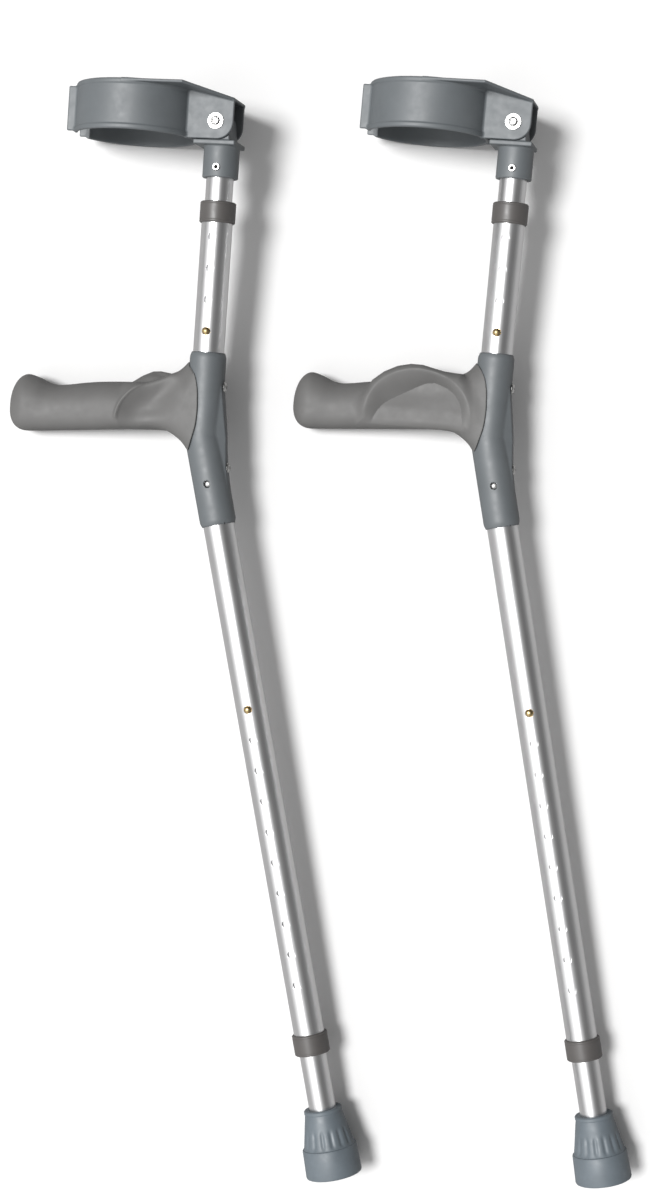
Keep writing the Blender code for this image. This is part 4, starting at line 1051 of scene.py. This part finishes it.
def metal(name, colour, roughness):
    """Plated or plain metal with fine wear."""
    s = Shader(name)
    wear = s.noise(900.0, detail=4.0)
    cloud = s.noise(200.0)
    shade = s.blend(s.ranged(cloud, 0, 1), tint(colour, 0.93), tint(colour, 1.05))
    gloss = s.ranged(wear, roughness - 0.05, roughness + 0.08)
    return s.finish(shade, gloss, s.bump(wear, 0.006 * MM), Metallic=1.0)


# Record slot, kind, colour and the kind's own values
LOOKS = (
    ("housing_plastic", plastic, (0.138, 0.153, 0.163), 0.54, 0.010, 1.0),
    ("grip_plastic", plastic, (0.158, 0.156, 0.153), 0.58, 0.016, 0.6),
    ("collar_plastic", plastic, (0.108, 0.101, 0.097), 0.43, 0.008, 0.7),
    ("ferrule_rubber", rubber, (0.150, 0.180, 0.205)),
    ("aluminium", aluminium, (0.86, 0.86, 0.865), 0.32),
    ("rivet_steel", metal, (0.60, 0.60, 0.59), 0.27),
    ("button_brass", metal, (0.66, 0.50, 0.26), 0.28),
    ("spring_steel", metal, (0.36, 0.36, 0.37), 0.34),
)
FINISHES = {name: kind(name, *values) for name, kind, *values in LOOKS}


# The shared meshes

DOWN = Matrix.Rotation(math.pi, 4, "X")
REAR_UPPER = Matrix.Translation((0, 0, UPPER_RIVET_AT)) @ Matrix.Rotation(-math.pi / 2, 4, "Y")
LOWER_POINT = Vector((-LOWER_RIVET_AT * math.sin(BEND), 0, -LOWER_RIVET_AT * math.cos(BEND)))
REAR_LOWER = Matrix.Translation(LOWER_POINT) @ Matrix.Rotation(LEAN - math.pi / 2, 4, "Y")
LOWER_SEAT = (WEB_BACK + LOWER_POINT.x) * math.cos(LEAN) - LOWER_POINT.z * math.sin(LEAN)


def at_height(z, turn=None):
    """A place on the axis, with or without a turn."""
    place = Matrix.Translation((0, 0, z))
    return place @ turn if turn is not None else place


def rear_cut(place):
    """A cutter for a rivet's shank."""
    profile = [(0, 30), (RIVET_HOLE_R, 30), (RIVET_HOLE_R, 0), (0, 0)]
    return turned(profile, 24, place)


def outer_tube_meshes():
    """Upper and lower outer tube, each in its own tube's frame."""
    holes = [ARM_BUTTON_AT + PITCH * k for k in range(4)]
    upper = tube(OUTER_R, TUBE_START, UPPER_TUBE_END, holes, [rear_cut(REAR_UPPER)])
    holes = [-SHAFT_BUTTON_AT - PITCH * k for k in range(10)]
    to_lower = Matrix.Rotation(-BEND, 4, "Y")
    cuts = [rear_cut(to_lower @ REAR_LOWER), side_hole(-SIDE_PIN_AT, SIDE_PIN_R + GAP)]
    lower = tube(OUTER_R, -LOWER_TUBE_END, -TUBE_START, holes, cuts)
    return upper, lower


UPPER_TUBE, LOWER_TUBE = outer_tube_meshes()
HANDLES = "handles"
# For each node of a crutch: its mesh, the frame it is made in, its body and its finish
SHAPES = {
    "upper_tube": (UPPER_TUBE, "crutch", HANDLES, "aluminium"),
    "lower_tube": (LOWER_TUBE, "lower", HANDLES, "aluminium"),
    "arm_tube": (
        tube(INNER_R, ARM_TUBE_BOTTOM, SOCKET_BORE_TOP - GAP, [ARM_BUTTON_AT],
             [side_hole(SOCKET_RIVET_AT, RIVET_HOLE_R, both=True)]),
        "crutch", "arm_extension", "aluminium",
    ),
    "shaft_tube": (
        tube(INNER_R, -SHAFT_TUBE_END, -SHAFT_TUBE_TOP, [-SHAFT_BUTTON_AT]),
        "lower", "shaft_extension", "aluminium",
    ),
    "upper_collar": (
        turned(eased(collar_profile(), 0.5), 80, at_height(UPPER_COLLAR_END)),
        "crutch", HANDLES, "collar_plastic",
    ),
    "lower_collar": (
        turned(eased(collar_profile(), 0.5), 80, at_height(-LOWER_COLLAR_END, DOWN)),
        "lower", HANDLES, "collar_plastic",
    ),
    "housing": (field_mesh(housing_field, *HOUSING_BOX), "crutch", HANDLES, "housing_plastic"),
    "upper_housing_rivet": (
        turned(eased(rear_rivet_profile(SLEEVE_R + GAP), 0.25), 40, REAR_UPPER),
        "crutch", HANDLES, "rivet_steel",
    ),
    "lower_housing_rivet": (
        turned(eased(rear_rivet_profile(LOWER_SEAT + GAP), 0.25), 40, REAR_LOWER),
        "crutch", HANDLES, "rivet_steel",
    ),
    "side_pin": (
        turned(side_pin_profile(), 32, at_height(-SIDE_PIN_AT, TO_LEFT)),
        "lower", HANDLES, "rivet_steel",
    ),
    "cuff_socket": (
        field_mesh(socket_field, *SOCKET_BOX),
        "crutch", "arm_extension", "housing_plastic",
    ),
    "socket_rivet": (
        turned(eased(socket_rivet_profile(), 0.2), 40, at_height(SOCKET_RIVET_AT, TO_LEFT)),
        "crutch", "arm_extension", "rivet_steel",
    ),
    "cuff_rivet": (
        turned(eased(cuff_rivet_profile(), 0.3), 48, TO_LEFT),
        "pivot", "arm_extension", "rivet_steel",
    ),
    "cuff_washer_left": (
        turned(eased(washer_profile(1), 0.3), 56, TO_LEFT),
        "pivot", "arm_extension", "rivet_steel",
    ),
    "cuff_washer_right": (
        turned(eased(washer_profile(-1), 0.3), 56, TO_LEFT),
        "pivot", "arm_extension", "rivet_steel",
    ),
    "cuff": (field_mesh(cuff_field, *CUFF_BOX), "pivot", "forearm_cuff", "housing_plastic"),
    "arm_button": (
        turned(button_profile(), 40, at_height(ARM_BUTTON_AT, TO_LEFT)),
        "crutch", "arm_snap_button", "button_brass",
    ),
    "shaft_button": (
        turned(button_profile(), 40, at_height(-SHAFT_BUTTON_AT, TO_LEFT)),
        "lower", "shaft_snap_button", "button_brass",
    ),
    "ferrule": (
        sharpen(turned(ferrule_profile(), 192, at_height(-FERRULE_TOP), flutes), 32),
        "lower", "shaft_extension", "ferrule_rubber",
    ),
}
GRIPS = {"right": grip_mesh("right"), "left": mirrored(grip_mesh("left"))}


# Placing the pieces

JOINTS = {joint["name"]: joint for joint in frame["joints"]}


def crutch_frames(side):
    """Matrices of the crutch, its lower tube and its cuff pivot, from the joints."""
    up = Vector(JOINTS[side + "_arm_height"]["axis"]).normalized()
    tilt = JOINTS[side + "_cuff_tilt"]
    left = -Vector(tilt["axis"]).normalized()
    forward = left.cross(up).normalized()
    turn = Matrix((forward, left, up)).transposed().to_4x4()
    pivot = Vector(tilt["pos_m"])
    origin = pivot - turn @ Vector((PIVOT_FORWARD * MM, 0, PIVOT_AT * MM))
    crutch = Matrix.Translation(origin) @ turn
    lower = crutch @ Matrix.Rotation(BEND, 4, "Y")
    return {"crutch": crutch, "lower": lower, "pivot": Matrix.Translation(pivot) @ turn}


def add_piece(side, node, mesh, matrix, body, finish):
    """Put a mesh in place of a CAD node."""
    name = side + "_" + node
    mesh = mesh.copy()
    mesh.name = name + "_mesh"
    place = mesh.attributes.new("place", "FLOAT_VECTOR", "POINT")
    place.data.foreach_set("vector", np.array([v.co for v in mesh.vertices]).ravel())
    mesh.transform(matrix)
    mesh.materials.clear()
    mesh.materials.append(FINISHES[finish])
    obj = bpy.data.objects.new(name + "_piece", mesh)
    bpy.context.scene.collection.objects.link(obj)
    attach(obj, body if body == HANDLES else side + "_" + body)
    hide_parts(name)


for side in ("right", "left"):
    frames = crutch_frames(side)
    for node, (mesh, place, body, finish) in SHAPES.items():
        add_piece(side, node, mesh, frames[place], body, finish)
    add_piece(side, "grip", GRIPS[side], frames["crutch"], HANDLES, "grip_plastic")
    for node in ("arm_spring", "shaft_spring"):
        frame["nodes"][side + "_" + node].material_slots[0].material = FINISHES["spring_steel"]
    washer = frame["nodes"][side + "_ferrule_washer"]
    washer.material_slots[0].material = FINISHES["rivet_steel"]


# Floor, light and camera

# The floor's colour for all but the camera, so that it lights the crutches less
FLOOR_BOUNCE = (0.42, 0.417, 0.415)


def make_floor():
    """A plain pale floor."""
    size = 30.0
    mesh = bpy.data.meshes.new("floor")
    corners = [(-size, -size, 0), (size, -size, 0), (size, size, 0), (-size, size, 0)]
    mesh.from_pydata(corners, [], [(0, 1, 2, 3)])
    s = Shader("floor")
    tone = s.noise(1.5, detail=2.0)
    pale = s.blend(s.ranged(tone, 0, 1), (0.975, 0.972, 0.970), (0.99, 0.988, 0.985))
    seen = s.tree.nodes.new("ShaderNodeLightPath").outputs["Is Camera Ray"]
    shade = s.blend(seen, FLOOR_BOUNCE, (1, 1, 1))
    s.tree.links.new(pale, shade.node.inputs["B"])
    gloss = s.ranged(s.noise(40.0), 0.9, 0.95)
    mesh.materials.append(s.finish(shade, gloss, Specular_IOR_Level=0.0))
    floor = bpy.data.objects.new("floor", mesh)
    bpy.context.scene.collection.objects.link(floor)
    floor.location.z = -0.0004


SUN_FROM = Vector((-0.42, 0.025, 0.93))
SUN_STRENGTH = 2.55
SUN_WIDTH_DEG = 16.0
# Brightness of the sky over the tubes: angle from straight up, left negative, and level
SKY_ACROSS = (
    (-90, 0.30), (-78, 0.45), (-64, 0.86), (-34, 0.92), (-18, 0.70), (-6, 0.53), (6, 0.34),
    (20, 0.18), (40, 0.14), (60, 0.17), (76, 0.30), (90, 0.40),
)
# Share of it that is left towards the lower and the upper edge of the picture
SKY_ALONG = ((-1.0, 1.1), (-0.5, 1.1), (0.0, 0.95), (0.3, 0.6), (0.6, 0.3), (1.0, 0.2))


def make_sun():
    """The key light, high on the left."""
    light = bpy.data.lights.new("key", "SUN")
    light.energy = SUN_STRENGTH
    light.angle = math.radians(SUN_WIDTH_DEG)
    lamp = bpy.data.objects.new("key", light)
    lamp.rotation_euler = SUN_FROM.to_track_quat("Z", "Y").to_euler()
    bpy.context.scene.collection.objects.link(lamp)


def grey_ramp(tree, value, low, high, stops):
    """A value read off a curve through stops between low and high."""
    place = tree.nodes.new("ShaderNodeMapRange")
    tree.links.new(value, place.inputs["Value"])
    place.inputs["From Min"].default_value = low
    place.inputs["From Max"].default_value = high
    ramp = tree.nodes.new("ShaderNodeValToRGB")
    ramp.color_ramp.interpolation = "EASE"
    tree.links.new(place.outputs[0], ramp.inputs[0])
    elements = ramp.color_ramp.elements
    for index, (at, level) in enumerate(stops):
        position = (at - low) / (high - low)
        element = elements[index] if index < 2 else elements.new(position)
        element.position = position
        element.color = (level, level, level, 1)
    return ramp.outputs["Color"]


def make_world():
    """A broad soft light over the left half of the sky, and a dim rest."""
    world = bpy.data.worlds.new("studio")
    world.use_nodes = True
    tree = world.node_tree
    background = tree.nodes["Background"]
    coordinates = tree.nodes.new("ShaderNodeTexCoord")
    split = tree.nodes.new("ShaderNodeSeparateXYZ")
    tree.links.new(coordinates.outputs["Generated"], split.inputs[0])

    def combined(operation, a, b):
        node = tree.nodes.new("ShaderNodeMath")
        node.operation = operation
        for socket, value in zip(node.inputs, (a, b)):
            feed(tree, socket, value)
        return node.outputs[0]

    across = combined("ARCTAN2", split.outputs["X"], split.outputs["Z"])
    across = combined("MULTIPLY", across, 180 / math.pi)
    level = grey_ramp(tree, across, -90, 90, SKY_ACROSS)
    along = grey_ramp(tree, split.outputs["Y"], -1, 1, SKY_ALONG)
    tree.links.new(combined("MULTIPLY", level, along), background.inputs["Strength"])
    background.inputs["Color"].default_value = (1, 1, 1, 1)
    bpy.context.scene.world = world


CAMERA_AT = Vector((0.046575, -0.007857, 1.833723))
CAMERA_TURN_DEG = (1.131, 1.274, 0.0)
FOCAL_PIXELS = 2193.6
LONG_SIDE = 1200


def make_camera():
    """The photograph's camera, looking almost straight down."""
    data = bpy.data.cameras.new("camera")
    data.sensor_width = 36.0
    data.lens = FOCAL_PIXELS / LONG_SIDE * data.sensor_width
    data.clip_end = 100.0
    camera = bpy.data.objects.new("camera", data)
    rx, ry, rz = (math.radians(a) for a in CAMERA_TURN_DEG)
    turn = Matrix.Rotation(rz, 4, "Z") @ Matrix.Rotation(ry, 4, "Y") @ Matrix.Rotation(rx, 4, "X")
    camera.matrix_world = Matrix.Translation(CAMERA_AT) @ turn
    bpy.context.scene.collection.objects.link(camera)
    bpy.context.scene.camera = camera


make_floor()
make_sun()
make_world()
make_camera()
bpy.context.scene.view_settings.view_transform = "Standard"
